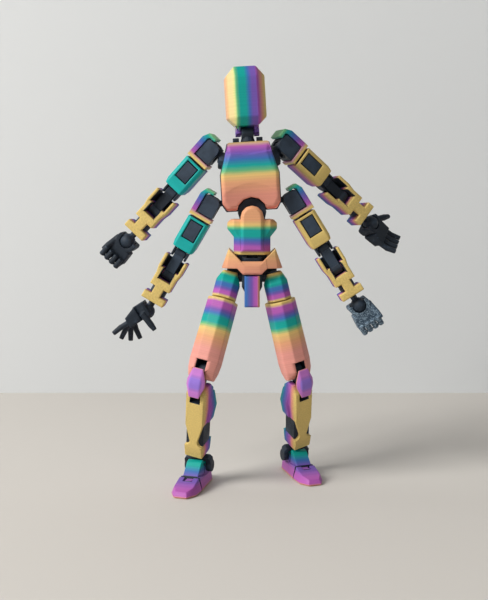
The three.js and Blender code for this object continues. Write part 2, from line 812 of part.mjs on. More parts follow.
function shinShell(restRoll) {
  const half = shinWidth / 2;
  const face = shinFaceWidth / 2;
  const calf = calfWidth / 2;
  const calfHigh = -calfTop;
  const side = shinFront / 2;
  const upper = hull([
    ...level(kneeTineRadius, half - gap, -kneeTineRadius / 2, kneeTineRadius / 2, face, kneeTineRadius / 3),
    ...level(0, half, -shinFront, shinFront, face, side),
    ...level(-calfBottom / 2, half, -shinFront, shinBack, face, side),
    ...level(-calfBottom, half - 2 * gap, -shinFront, shinFront, face, side),
  ]);
  const calves = hull([
    ...level(calfHigh, half, 0, shinFront, half, side),
    ...level((calfHigh - calfBottom) / 2, calf, 0, shinBack, half, side),
    ...level(-calfBottom, half, 0, shinFront, half, side),
  ]);
  const strip = shinStripWidth / 2;
  const core = shinCoreWidth / 2;
  const bottom = -shinLength - ankleCuffDrop;
  const coreFront = -shinFront + shinStripThickness;
  const cuffHalf = shinCuffWidth / 2;
  const flare = cuffHalf - gap - strip;
  const right = [[strip + flare, -shinCuffTop - gap]];
  for (let i = 0; i <= shinFlareSteps; i += 1) {
    const angle = ((Math.PI / 2) * i) / shinFlareSteps;
    right.push([strip + flare * (1 - Math.sin(angle)), -shinCuffTop + flare * (1 - Math.cos(angle))]);
  }
  right.push([face, -calfBottom + gap]);
  const plate = [...right, ...right.map(([x, z]) => [-x, z]).reverse()];
  const column = join(
    block(-core, core, coreFront - gap, -coreFront + gap, -shinCuffTop - gap, -calfBottom + gap),
    slab(plate, -shinFront, coreFront, 0),
    slab(plate, -coreFront, shinFront, 0),
  );
  const cuffDepth = shinCuffDepth / 2;
  const cuff = hull([
    ...level(-shinCuffTop, cuffHalf - gap, -cuffDepth, cuffDepth, face, side),
    ...level(-shinCuffTop - shinCuffRise, cuffHalf, -cuffDepth, cuffDepth, face, side),
    ...level(bottom, cuffHalf - gap, -cuffDepth + 2 * gap, cuffDepth - 2 * gap, face, side),
  ]);
  const slotHalf = kneeLinkWidth / 2 + gap;
  const slotFoot = -kneeEyeRadius - 2 * gap;
  const slot = block(-slotHalf, slotHalf, -shinBack - gap, shinBack + gap, slotFoot, kneeTineRadius + gap);
  const pin = barX(pinRadius, -half + gap, half - gap);
  const eyeHalf = ankleEyeWidth / 2 + gap;
  const roll = deg(ankleRollRange);
  const down = -Math.PI / 2 - deg(restRoll);
  const eyeRoom = barY(ankleEyeRadius + gap, -eyeHalf, eyeHalf);
  const stemRoom = sweep(shinWidth, ankleEyeRadius + gap, eyeHalf, down - roll, down + roll);
  const anklePin = barY(pinRadius, -cuffDepth + 2 * gap, cuffDepth - 2 * gap);
  const ankle = new THREE.Matrix4().makeTranslation(0, 0, -shinLength);
  return join(upper, calves, column, cuff)
    .subtract(slot)
    .subtract(shinKneecapRoom())
    .add(pin)
    .subtract(placed(join(eyeRoom, stemRoom), ankle))
    .add(placed(anklePin, ankle));
}

function shinKneecapRoom() {
  const half = kneecapWidth / 2 + gap;
  const back = -kneecapFront + kneecapThickness + 2 * gap;
  const reach = kneecapHeight / 2 - kneeLinkLength / 2 + 2 * gap;
  return block(-half, half, -kneecapFront, back, -reach, kneeTineRadius + gap);
}

// The ears are turned under the eye, so that the foot can point less far out than the shin.
function ankleYoke(turned) {
  const half = ankleEyeWidth / 2;
  const inner = footInstepWidth / 2 + gap;
  const outer = inner + ankleEarThickness;
  const bridgeTop = -ankleBridgeDrop;
  const bridgeFoot = bridgeTop - ankleBridgeHeight;
  const depth = ankleBridgeDepth / 2;
  const shoulder = outer - ankleEarThickness / 2;
  const ears = [-1, 1].map((hand) =>
    join(
      barX(ankleEarRadius, hand * inner, hand * outer, 0, -anklePivotDrop),
      slab(
        [
          [hand * inner, -anklePivotDrop],
          [hand * outer, -anklePivotDrop],
          [hand * outer, bridgeTop - ankleEarThickness / 2],
          [hand * shoulder, bridgeTop],
          [hand * inner, bridgeTop],
        ],
        -depth,
        depth,
        0,
      ),
    ),
  );
  const fork = join(
    block(-shoulder, shoulder, -depth, depth, bridgeFoot, bridgeTop),
    ...ears,
    barX(pinRadius, -outer + gap, outer - gap, 0, -anklePivotDrop),
  );
  const yoke = join(
    barY(ankleEyeRadius, -half, half),
    block(-ankleEyeRadius, ankleEyeRadius, -half, half, bridgeTop - gap, 0),
    placed(fork, new THREE.Matrix4().makeRotationZ(deg(turned))),
  );
  return yoke.subtract(barY(pinRadius + gap, -ankleEyeWidth, ankleEyeWidth));
}

// The foot, measured from its pitch pivot: a heel, a hub between the yoke's ears and an instep.
function footShell(lean) {
  const sole = -footPivotHeight;
  const heelHalf = footHeelWidth / 2;
  const ballHalf = footWidth / 2;
  const front = -toeHingeReach + gap / 2;
  const heelTop = sole + footHeelHeight;
  const ballTop = sole + footBallHeight;
  const points = [];
  for (const side of [-1, 1]) {
    for (const [z, inset] of [[sole, soleBevel], [sole + soleBevel, 0], [heelTop, soleBevel]]) {
      points.push([side * (heelHalf / 2), footHeelLength - inset, z]);
      points.push([side * (heelHalf - inset), footHeelLength / 2, z]);
    }
    points.push([side * (ballHalf - soleBevel), front, sole]);
    points.push([side * ballHalf, front, sole + soleBevel]);
    points.push([side * (ballHalf - 2 * soleBevel), front, ballTop]);
  }
  const base = hull(points);
  const half = footInstepWidth / 2;
  const bridgeHeight = anklePivotDrop - ankleBridgeDrop;
  const bridgeAngle = Math.atan2(ankleBridgeDepth / 2, bridgeHeight) + deg(lean);
  const bridgeRise = footInstepSetback / Math.tan(bridgeAngle) - gap;
  const rise = Math.min(footInstepRise, bridgeRise);
  const instep = hull([
    [-half, -footInstepSetback, rise],
    [half, -footInstepSetback, rise],
    [-half, -footInstepLength, rise - soleBevel],
    [half, -footInstepLength, rise - soleBevel],
    [-half, front, ballTop],
    [half, front, ballTop],
    [-half, front, heelTop],
    [half, front, heelTop],
    [-half, -footHubRadius, heelTop - soleBevel],
    [half, -footHubRadius, heelTop - soleBevel],
  ]);
  const hub = join(
    barX(footHubRadius, -half, half),
    block(-half, half, -footHubRadius, footHubRadius, heelTop - soleBevel, 0),
  );
  const earRoom = [-1, 1].map((hand) =>
    block(
      hand * half,
      hand * footWidth,
      -ankleEarRadius - 2 * gap,
      ankleEarRadius + 2 * gap,
      -ankleEarRadius - 2 * gap,
      footPivotHeight,
    ),
  );
  const tongueHalf = toeTongueWidth / 2;
  const hingeZ = sole + toeHingeHeight;
  const tongue = join(
    barX(toeEyeRadius, -tongueHalf, tongueHalf, -toeHingeReach - toeEyeRadius, hingeZ),
    block(
      -tongueHalf,
      tongueHalf,
      -toeHingeReach - toeEyeRadius,
      front + gap,
      hingeZ - toeEyeRadius,
      hingeZ + toeEyeRadius,
    ),
    block(
      -tongueHalf,
      tongueHalf,
      -toeHingeReach - toeEyeRadius - toeNoseRun,
      front + gap,
      hingeZ,
      hingeZ + toeEyeRadius,
    ),
  );
  const toePinRoom = barX(
    toePinRadius + gap / 2,
    -footWidth,
    footWidth,
    -toeHingeReach - toeEyeRadius,
    hingeZ,
  );
  const bore = barX(pinRadius + gap, -footWidth, footWidth);
  const shell = earRoom.reduce((made, room) => made.subtract(room), join(base, instep, hub));
  return shell.subtract(bore).add(tongue).subtract(toePinRoom);
}

// The toe, measured from its hinge pin.
function toeShell() {
  const sole = -toeHingeHeight;
  const rear = toeEyeRadius - gap / 2;
  const ballHalf = footWidth / 2;
  const tipHalf = toeTipWidth / 2;
  const tip = toeEyeRadius - toeLength;
  const shoulder = tip * 0.55;
  const top = sole + footBallHeight;
  const tipTop = sole + toeTipHeight;
  const seam = rear - 2 * gap;
  const fall = (top - tipTop) / (seam - tip - 2 * soleBevel);
  const shoulderTop = top - fall * (seam - shoulder);
  const points = [];
  for (const side of [-1, 1]) {
    points.push([side * (ballHalf - soleBevel), rear - gap, sole]);
    points.push([side * ballHalf, rear, sole + soleBevel]);
    points.push([side * (ballHalf - 2 * soleBevel), seam, top]);
    points.push([side * (ballHalf - soleBevel), shoulder, sole]);
    points.push([side * ballHalf, shoulder, sole + soleBevel]);
    points.push([side * (ballHalf - 2 * soleBevel), shoulder, shoulderTop]);
    points.push([side * (tipHalf - soleBevel), tip + soleBevel, sole]);
    points.push([side * tipHalf, tip, sole + soleBevel]);
    points.push([side * (tipHalf - soleBevel), tip + 2 * soleBevel, tipTop]);
  }
  const slotHalf = toeTongueWidth / 2 + gap;
  const slot = block(
    -slotHalf,
    slotHalf,
    -toeEyeRadius - gap,
    rear + gap,
    sole - gap,
    toeHingeHeight + toeEyeRadius,
  );
  const pin = barX(toePinRadius, -slotHalf - gap, slotHalf + gap);
  const heelClear = hull([
    [-footWidth, rear + gap, -gap],
    [footWidth, rear + gap, -gap],
    [-footWidth, rear + gap, sole - 2 * gap],
    [footWidth, rear + gap, sole - 2 * gap],
    [-footWidth, rear - 2 * gap, sole - 2 * gap],
    [footWidth, rear - 2 * gap, sole - 2 * gap],
  ]);
  return hull(points).subtract(heelClear).subtract(slot).add(pin);
}

// A shoulder peg along its own X: ball, neck, the upper pair's disc, and the eye of the raise pivot.
function shoulderPeg(arm) {
  const s = arm.side;
  const { reach, rise } = shoulderEye(arm);
  const eyeHalf = shoulderEyeWidth / 2;
  const eyeX = s * reach;
  const discFace = socketDepth + gap;
  const parts = [
    ball(socketBallRadius),
    barX(socketNeckRadius, 0, s * (reach - shoulderEyeRadius * arm.upper), 0, 0),
    barY(shoulderEyeRadius, -eyeHalf, eyeHalf, eyeX, rise),
  ];
  if (arm.upper) {
    const rim = discFace + shoulderDiscThickness;
    parts.push(barX(shoulderDiscRadius, s * discFace, s * rim));
    parts.push(
      hull([
        ...[-eyeHalf, eyeHalf].flatMap((y) => [
          [s * (rim - gap), y, 0],
          [s * (rim - gap), y, rise + shoulderEyeRadius / 2],
          [eyeX, y, rise - shoulderEyeRadius],
          [eyeX, y, rise + shoulderEyeRadius / 2],
        ]),
      ]),
    );
  }
  return join(...parts).subtract(barY(pinRadius + gap, -shoulderEyeWidth, shoulderEyeWidth, eyeX, rise));
}

// The raise pivot, from the centre of the ball along the peg and across it.
function shoulderEye(arm) {
  return {
    reach: socketDepth + (arm.upper ? upperEyeReach : lowerEyeReach),
    rise: arm.upper ? upperEyeRise : lowerEyeRise,
  };
}

// Room in the chest for a shoulder peg: its ball, its neck and, on the upper pair, its disc.
function socketRoom(arm) {
  const s = arm.side;
  const room = join(
    ball(socketBallRadius + gap),
    barX(socketNeckRadius + gap, 0, s * chestWidth),
  );
  if (!arm.upper) return room;
  return room.add(barX(shoulderDiscRadius + gap, s * socketDepth, s * chestWidth));
}

// The block that straddles the eye, and the stem below it that the arm swivels on.
function shoulderBlock(arm) {
  const s = arm.side;
  const depth = shoulderBlockDepth / 2;
  const outer = armOffset + shoulderBlockHalf;
  const bottom = -shoulderBlockBottom;
  const body = join(
    barY(shoulderRound, -depth, depth),
    slab(
      [
        [-s * shoulderRound, bottom],
        [s * outer, bottom],
        [s * outer, shoulderBlockTop - 2 * gap],
        [s * (outer - 2 * gap), shoulderBlockTop],
        [0, shoulderBlockTop],
        [-s * shoulderRound, 0],
      ],
      -depth,
      depth,
      0,
    ),
  );
  const slotHalf = shoulderEyeWidth / 2 + gap;
  const eyeRoom = barY(shoulderEyeRadius + gap, -slotHalf, slotHalf);
  const stem = stemAngles(arm);
  const stemRoom = sweep(
    shoulderBlockBottom * 2,
    shoulderEyeRadius + gap,
    slotHalf,
    Math.min(...stem),
    Math.max(...stem),
  );
  const pin = barY(pinRadius, -depth + gap, depth - gap);
  return body.subtract(eyeRoom).subtract(stemRoom).add(pin);
}

// Directions, in the block, that the peg comes from over the raise range.
function stemAngles(arm) {
  const s = arm.side;
  const { reach, rise } = shoulderEye(arm);
  const run = arm.upper ? upperEyeReach - shoulderDiscThickness : reach;
  const home = Math.atan2(-rise, -s * run);
  const turned = home - deg(s * (arm.raise - (arm.upper ? upperSocketTilt : 0)));
  const [low, high] = raiseRange(arm);
  return [low - stemAllowance, high + stemAllowance].map((angle) => turned - deg(s * angle));
}

function raiseRange(arm) {
  return arm.upper ? [-8, 45] : [-15, 10];
}

function swivelStem() {
  const bottom = -shoulderBlockBottom;
  const length = capRingHeight + 2 * gap + swivelStemLength;
  return { top: bottom + gap, foot: bottom - length };
}

function upperBlock(arm) {
  const { top, foot } = swivelStem();
  return shoulderBlock(arm).add(barZ(swivelStemRadius, foot, top, arm.side * armOffset));
}

// The cap hugs the block's outer side, curls over its top and closes in a ring below it.
function shoulderCap(arm) {
  const s = arm.side;
  const depth = capDepth / 2;
  const inner = armOffset + shoulderBlockHalf + gap;
  const outer = inner + capThickness;
  const top = shoulderBlockTop + gap;
  const ringTop = -shoulderBlockBottom - gap;
  const ringFoot = ringTop - capRingHeight;
  const far = armOffset - armWidth / 2;
  const lip = inner - capLip;
  const outline = [
    [s * far, ringFoot],
    [s * outer, ringFoot],
    [s * outer, top - capRoof],
    [s * (outer - capRoof), top + capRoof],
    [s * lip, top + capRoof],
    [s * lip, top],
    [s * (inner - 2 * gap), top],
    [s * inner, top - 2 * gap],
    [s * inner, ringTop],
    [s * far, ringTop],
  ];
  const bore = barZ(swivelStemRadius + gap, ringFoot - gap, ringTop + gap, s * armOffset);
  return slab(outline, -depth, depth, gap / 2).subtract(bore);
}

// The arm's black core, from the shell's top to the elbow fork.
function armCore() {
  const { foot } = swivelStem();
  const shellTop = -shoulderBlockBottom - capRingHeight - 3 * gap;
  const shellFoot = shellTop - armShellLength;
  const elbow = shellFoot - elbowDrop;
  const coreHalf = armWidth / 2 - armWall - gap;
  const depth = armDepth / 2 - armFrontWall - gap;
  const padHalf = armWindowWidth / 2 - gap;
  const windowTop = shellTop - armWindowTop;
  const forkInner = elbowLinkWidth / 2 + gap;
  const forkTop = shellFoot + elbowEyeRadius + gap;
  const body = join(
    block(-coreHalf, coreHalf, -depth, depth, forkTop, shellTop),
    block(
      -padHalf,
      padHalf,
      -armDepth / 2 + gap / 2,
      0,
      windowTop - armWindowHeight + gap,
      windowTop - gap,
    ),
    ...[-1, 1].map((hand) => {
      const outer = hand * (forkInner + forkThickness);
      return join(
        barX(elbowEyeRadius, hand * forkInner, outer, 0, elbow),
        block(hand * forkInner, outer, -elbowEyeRadius, elbowEyeRadius, elbow, forkTop + gap),
      );
    }),
    barX(pinRadius, -forkInner - gap, forkInner + gap, 0, elbow),
  );
  const bore = barZ(swivelStemRadius + gap, foot - gap, shellTop + gap);
  const linkRoom = barX(elbowEyeRadius + gap, -forkInner, forkInner, 0, elbow);
  const pin = barX(pinRadius, -forkInner - gap, forkInner + gap, 0, elbow);
  return { body: body.subtract(linkRoom).add(pin), bore, elbow, shellTop, shellFoot };
}

// The lower pair's block and core are one piece, joined by a stem through the cap's ring.
function lowerFrame(arm) {
  const { body } = armCore();
  const along = new THREE.Matrix4().makeTranslation(arm.side * armOffset, 0, 0);
  return upperBlock(arm).add(placed(body, along));
}

function upperArmShell() {
  const { shellTop, shellFoot } = armCore();
  const half = armWidth / 2;
  const depth = armDepth / 2;
  const outside = hull([
    ...level(shellTop, half, -depth, depth, half - armCorner, depth - armCorner),
    ...level(shellFoot + 2 * armCorner, half, -depth, depth, half - armCorner, depth - armCorner),
    ...level(shellFoot, half - gap, -depth + gap, depth - armCorner, half - armCorner, depth - 2 * armCorner),
  ]);
  const innerHalf = half - armWall;
  const innerDepth = depth - armFrontWall;
  const inside = block(
    -innerHalf,
    innerHalf,
    -innerDepth,
    innerDepth,
    shellFoot - gap,
    shellTop + gap,
  );
  const windowHalf = armWindowWidth / 2;
  const windowTop = shellTop - armWindowTop;
  const window = block(-windowHalf, windowHalf, -armDepth, 0, windowTop - armWindowHeight, windowTop);
  return outside.subtract(inside).subtract(window);
}

function elbowLink() {
  const half = elbowLinkWidth / 2;
  const lower = -elbowLinkLength;
  const link = join(
    barX(elbowEyeRadius, -half, half),
    barX(elbowEyeRadius, -half, half, 0, lower),
    block(-half, half, -elbowWaist, elbowWaist, lower, 0),
  );
  return link
    .subtract(barX(pinRadius + gap, -elbowLinkWidth, elbowLinkWidth))
    .subtract(barX(pinRadius + gap, -elbowLinkWidth, elbowLinkWidth, 0, lower));
}

// The forearm, measured from its elbow pin, seen from the front: tines, body, neck and wrist bar.
function forearmShell() {
  const wide = elbowLinkWidth / 2 + gap + forkThickness + gap;
  const outer = wide + forearmTineThickness;
  const narrow = elbowLinkWidth / 2 + gap;
  const body = forearmBodyWidth / 2;
  const neck = forearmNeckWidth / 2;
  const bar = forearmBarWidth / 2;
  const { barTop, barFoot } = wristLevels();
  const right = [
    [bar, barFoot],
    [bar, barTop],
    [neck, barTop],
    [neck, -forearmBodyDrop],
    [body, -forearmBodyDrop],
    [body, -forearmSlotDrop + forearmStepRise],
    [outer, forearmStepRise],
    [outer, forearmTineRise],
    [wide, forearmTineRise],
    [wide, forearmStepRise],
    [narrow, forearmStepRise],
    [narrow, -forearmSlotDrop],
  ];
  const left = right.map(([x, z]) => [-x, z]).reverse();
  const depth = forearmDepth / 2;
  const shell = slab([...right, ...left], -depth, depth, gap);
  const backWall = block(
    -wide - gap,
    wide + gap,
    depth - gap - forearmBackWall,
    depth - gap,
    -forearmSlotDrop - gap,
    forearmBackRise,
  );
  const stemRoom = barZ(wristStemRadius + gap, barFoot - gap, -wristStemTop + gap);
  const collarRoom = barZ(wristCollarRadius + gap, barTop, -forearmBodyDrop);
  const pin = barX(pinRadius, -narrow - gap, narrow + gap);
  return shell.subtract(stemRoom).subtract(collarRoom).add(backWall).add(pin);
}

function wristLevels() {
  const barTop = -forearmBodyDrop - forearmNotch;
  const barFoot = barTop - forearmBarHeight;
  return { barTop, barFoot, wrist: barFoot - wristReach };
}

function wristPeg() {
  const { barTop, barFoot, wrist } = wristLevels();
  return join(
    barZ(wristStemRadius, barFoot - gap, -wristStemTop),
    barZ(wristCollarRadius, barTop + gap, -forearmBodyDrop - gap),
    barZ(wristNeckRadius, wrist, barFoot),
    ball(wristBallRadius, 0, 0, wrist),
  );
}

// A tapering finger joint between two points, sunk a little into the one before it.
function fingerJoint(from, to, radius, endRadius) {
  const start = new THREE.Vector3(...from);
  const run = new THREE.Vector3(...to).sub(start);
  start.addScaledVector(run, -fingerOverlap / run.length());
  run.addScaledVector(run, fingerOverlap / run.length());
  const turn = new THREE.Quaternion().setFromUnitVectors(
    new THREE.Vector3(0, 1, 0),
    run.clone().normalize(),
  );
  const rod = rodGeometry(radius, run.length(), endRadius, fingerSides);
  const middle = start.clone().addScaledVector(run, 1 / 2);
  return solid(rod.applyQuaternion(turn).translate(middle.x, middle.y, middle.z));
}

// A hand on its wrist ball: an open cup, a palm that faces -Y, four fingers and a thumb.
function handShell(arm, grip) {
  const palmHalf = palmWidth / 2;
  const palmFoot = -palmLength;
  const half = palmThickness / 2;
  const palm = hull([
    ...level(-wristBallRadius, handCupRadius, -handFront, handBack, handCupRadius - gap, handFront - gap),
    ...level(palmFoot, palmHalf, -half, half, palmHalf - gap, half - gap),
  ]);
  const cup = barY(handCupRadius, -handFront, handBack);
  const fingers = [];
  const thumbSide = arm.side;
  const pitch = (palmWidth - 2 * fingerRadius) / 3;
  for (let i = 0; i < 4; i += 1) {
    const x = (i - 1.5) * pitch;
    const fan = deg((i - 1.5) * grip.fan);
    const root = [x, 0, palmFoot + fingerRadius];
    const bendTo = (from, length, curl) => [
      from[0] + Math.sin(fan) * length * Math.cos(deg(curl)),
      from[1] - length * Math.sin(deg(curl)),
      from[2] - length * Math.cos(deg(curl)) * Math.cos(fan),
    ];
    const more = (thumbSide > 0 ? 3 - i : i) * grip.step;
    const knuckle = bendTo(root, fingerLength, grip.curl + more);
    const tip = bendTo(knuckle, fingerTipLength, grip.tipCurl + more);
    fingers.push(fingerJoint(root, knuckle, fingerRadius, fingerRadius * fingerTaper));
    fingers.push(fingerJoint(knuckle, tip, fingerRadius, fingerTipRadius));
  }
  const out = deg(grip.thumbOut);
  const forward = deg(grip.thumbForward);
  const thumbRoot = [thumbSide * (handCupRadius - thumbRadius / 2), 0, -thumbRadius];
  const thumbRun = [
    thumbSide * Math.sin(out) * Math.cos(forward),
    -Math.sin(forward),
    -Math.cos(out) * Math.cos(forward),
  ];
  const thumbTo = (from, length) => from.map((value, axis) => value + thumbRun[axis] * length);
  const thumbKnuckle = thumbTo(thumbRoot, thumbLength);
  const thumbTip = thumbTo(thumbKnuckle, thumbLength / 2);
  fingers.push(fingerJoint(thumbRoot, thumbKnuckle, thumbRadius, thumbRadius * fingerTaper));
  fingers.push(fingerJoint(thumbKnuckle, thumbTip, thumbRadius, fingerTipRadius));
  const reach = handCupRadius + gap;
  const ballRoom = join(
    ball(wristBallRadius + gap),
    block(-reach, reach, -reach, reach, handMouthHeight, reach),
  );
  return join(cup, palm, ...fingers).subtract(ballRoom);
}

// A solid moved by a matrix.
function placed(made, matrix) {
  return solid(geometryOf(made).applyMatrix4(matrix));
}

// The scene graph: one group for each moving body, one mesh for each piece.
const figure = new THREE.Group();
figure.name = "figure";

function body(parent, name, position, turns = [], hinge = null) {
  const group = new THREE.Group();
  group.name = name;
  group.position.set(...position);
  for (const [axis, angle] of turns) group[`rotate${axis}`](deg(angle));
  group.userData.hinge = hinge;
  parent.add(group);
  return group;
}

function piece(parent, name, made, material, across = 0) {
  const mesh = new THREE.Mesh(geometryOf(made), material);
  mesh.name = name;
  mesh.position.x = across;
  parent.add(mesh);
}

const axes = { X: [1, 0, 0], Y: [0, 1, 0], Z: [0, 0, 1] };

// A hinge about one of its group's own axes; a sign of -1 turns it round so that both sides match.
function hinge(name, axis, range, sign = 1) {
  return { name, axis: axes[axis].map((value) => value * sign), range };
}

// A wrist that is already bent stops where its neck meets the rim of the hand's cup.
function wristBend(grip) {
  const [back, on] = wristBendRange;
  return [Math.max(back, -wristBendLimit - grip.bend), Math.min(on, wristBendLimit - grip.bend)];
}

function addArm(chest, name, arm, grip) {
  const s = arm.side;
  const swing = arm.upper ? [-40, 60] : [-25, 35];
  const peg = body(
    chest,
    `${name}_shoulder`,
    socketPlace(arm),
    socketTurns(arm),
    hinge(`${name}_swing`, "X", swing, arm.upper ? 1 : -1),
  );
  piece(peg, `${name}_shoulder_peg`, shoulderPeg(arm), charcoal);
  const { reach, rise } = shoulderEye(arm);
  const tilt = arm.upper ? upperSocketTilt : 0;
  const raised = body(
    peg,
    `${name}_raise_body`,
    [s * reach, 0, rise],
    [["Y", -s * (arm.raise - tilt)]],
    hinge(`${name}_raise`, "Y", raiseRange(arm), -s),
  );
  piece(raised, `${name}_shoulder_cap`, shoulderCap(arm), violet);
  let upper = raised;
  const across = s * armOffset;
  const core = armCore();
  if (arm.upper) {
    piece(raised, `${name}_shoulder_block`, upperBlock(arm), charcoal);
    upper = body(
      raised,
      `${name}_swivel_body`,
      [across, 0, 0],
      [],
      hinge(`${name}_swivel`, "Z", armSwivelRange),
    );
    piece(upper, `${name}_upper_arm_frame`, core.body.subtract(core.bore), charcoal);
    piece(upper, `${name}_upper_arm_shell`, upperArmShell(), gold);
  } else {
    piece(raised, `${name}_upper_arm_frame`, lowerFrame(arm), charcoal);
    piece(raised, `${name}_upper_arm_shell`, upperArmShell(), gold, across);
  }
  const link = body(
    upper,
    `${name}_elbow`,
    [arm.upper ? 0 : across, 0, core.elbow],
    [["X", -arm.bend]],
    hinge(`${name}_elbow_upper`, "X", elbowUpperRange),
  );
  piece(link, `${name}_elbow_link`, elbowLink(), charcoal);
  const forearm = body(
    link,
    `${name}_forearm`,
    [0, 0, -elbowLinkLength],
    [["X", -arm.bend]],
    hinge(`${name}_elbow_lower`, "X", elbowLowerRange),
  );
  piece(forearm, `${name}_forearm_shell`, forearmShell(), gold);
  const wrist = body(
    forearm,
    `${name}_wrist`,
    [0, 0, 0],
    [["Z", s * arm.twist]],
    hinge(`${name}_wrist_twist`, "Z", wristTwistRange),
  );
  piece(wrist, `${name}_wrist_peg`, wristPeg(), charcoal);
  const hand = body(
    wrist,
    `${name}_hand_body`,
    [0, 0, wristLevels().wrist],
    [["X", grip.bend]],
    hinge(`${name}_wrist_bend`, "X", wristBend(grip)),
  );
  piece(hand, `${name}_hand`, handShell(arm, grip), charcoal);
}

// Where a shoulder's ball sits in the chest, and how its peg is turned there.
function socketPlace(arm) {
  const half = arm.upper ? upperSocketHalf : lowerSocketHalf;
  const height = arm.upper ? upperSocketHeight : lowerSocketHeight;
  const tilt = deg(arm.upper ? upperSocketTilt : 0);
  return [
    arm.side * (half - socketDepth * Math.cos(tilt)),
    socketSetback,
    height - socketDepth * Math.sin(tilt),
  ];
}

function socketTurns(arm) {
  const tilt = arm.upper ? upperSocketTilt : 0;
  return [
    ["Z", arm.side * arm.back],
    ["Y", -arm.side * tilt],
  ];
}

function addLeg(pelvis, name, leg) {
  const s = leg.side;
  const stance = standing(leg);
  const hip = body(
    pelvis,
    `${name}_hip`,
    [(s * hipSpacing) / 2, 0, -hipDrop],
    [["X", -leg.forward]],
    hinge(`${name}_hip_swing`, "X", hipSwingRange),
  );
  piece(hip, `${name}_hip_joint`, hipJoint(s), charcoal);
  const upper = body(
    hip,
    `${name}_upper_thigh`,
    [0, 0, 0],
    [["Y", -s * leg.spread]],
    hinge(`${name}_hip_spread`, "Y", hipSpreadRange, -s),
  );
  piece(upper, `${name}_upper_thigh_shell`, upperThigh(leg), teal);
  const thigh = body(
    upper,
    `${name}_thigh`,
    [0, 0, -upperThighLength],
    [["Z", s * leg.toeOut]],
    hinge(`${name}_thigh_swivel`, "Z", thighSwivelRange, -s),
  );
  piece(thigh, `${name}_thigh_shell`, thighShell(), peach);
  const half = stance.bend / 2;
  const link = body(
    thigh,
    `${name}_knee`,
    [0, 0, upperThighLength - thighLength],
    [["X", half]],
    hinge(`${name}_knee_upper`, "X", kneeUpperRange),
  );
  piece(link, `${name}_knee_link`, kneeLink(), charcoal);
  piece(link, `${name}_kneecap`, kneecap(), violet);
  const shin = body(
    link,
    `${name}_shin`,
    [0, 0, -kneeLinkLength],
    [["X", half]],
    hinge(`${name}_knee_lower`, "X", kneeLowerRange),
  );
  piece(shin, `${name}_shin_shell`, shinShell(stance.roll), gold);
  const ankle = body(
    shin,
    `${name}_ankle`,
    [0, 0, -shinLength],
    [["Y", stance.roll]],
    hinge(`${name}_ankle_roll`, "Y", [-ankleRollRange, ankleRollRange]),
  );
  piece(ankle, `${name}_ankle_yoke`, ankleYoke(-s * leg.ankleTurn), charcoal);
  const foot = body(
    ankle,
    `${name}_foot_body`,
    [0, 0, -anklePivotDrop],
    [["Z", -s * leg.ankleTurn], ["X", stance.pitch]],
    hinge(`${name}_ankle_pitch`, "X", [-anklePitchBack, anklePitchOn]),
  );
  piece(foot, `${name}_foot`, footShell(anklePitchBack - stance.pitch), teal);
  const toe = body(
    foot,
    `${name}_toe_body`,
    [0, -toeHingeReach - toeEyeRadius, toeHingeHeight - footPivotHeight],
    [],
    hinge(`${name}_toe_bend`, "X", toeBendRange),
  );
  piece(toe, `${name}_toe`, toeShell(), violet);
}

// The knee bend that puts a leg's sole on the ground, with the ankle turned so that it lies flat.
function standing(leg) {
  const s = leg.side;
  const turn = (axis, angle) => new THREE.Quaternion().setFromAxisAngle(axis, deg(angle));
  const axisX = new THREE.Vector3(1, 0, 0);
  const axisY = new THREE.Vector3(0, 1, 0);
  const axisZ = new THREE.Vector3(0, 0, 1);
  const down = (turned, length) => new THREE.Vector3(0, 0, -length).applyQuaternion(turned);
  const stanceAt = (bend) => {
    const thigh = turn(axisX, -leg.forward).multiply(turn(axisY, -s * leg.spread));
    const foot = new THREE.Vector3(0, 0, hipHeight).add(down(thigh, thighLength));
    const link = thigh.clone().multiply(turn(axisZ, s * leg.toeOut)).multiply(turn(axisX, bend / 2));
    foot.add(down(link, kneeLinkLength));
    const shin = link.clone().multiply(turn(axisX, bend / 2));
    foot.add(down(shin, shinLength));
    const upright = axisZ.clone().applyQuaternion(shin.clone().invert());
    const ankleTurn = deg(-s * leg.ankleTurn);
    const tip = -Math.asin(upright.y / Math.cos(ankleTurn));
    const pitch = THREE.MathUtils.radToDeg(tip);
    const skew = Math.atan2(Math.sin(tip) * Math.sin(ankleTurn), Math.cos(tip));
    const roll = THREE.MathUtils.radToDeg(Math.atan2(upright.x, upright.z) - skew);
    foot.add(down(shin.clone().multiply(turn(axisY, roll)), anklePivotDrop));
    return { bend, roll, pitch, height: foot.z };
  };
  let low = 0;
  let high = 120;
  for (let i = 0; i < 60; i += 1) {
    const middle = (low + high) / 2;
    if (stanceAt(middle).height < footPivotHeight) low = middle;
    else high = middle;
  }
  return stanceAt(high);
}

const pelvis = body(figure, "pelvis", [0, 0, hipHeight + hipDrop]);
piece(pelvis, "pelvis_shell", pelvisShell(), peach);
piece(pelvis, "pelvis_frame", pelvisFrame(), charcoal);
piece(pelvis, "crotch_flap", crotchFlap(), violet);

const waist = body(pelvis, "waist", [0, 0, 0], [], hinge("waist_twist", "Z", waistTwistRange));
piece(waist, "waist_shell", waistShell(), teal);

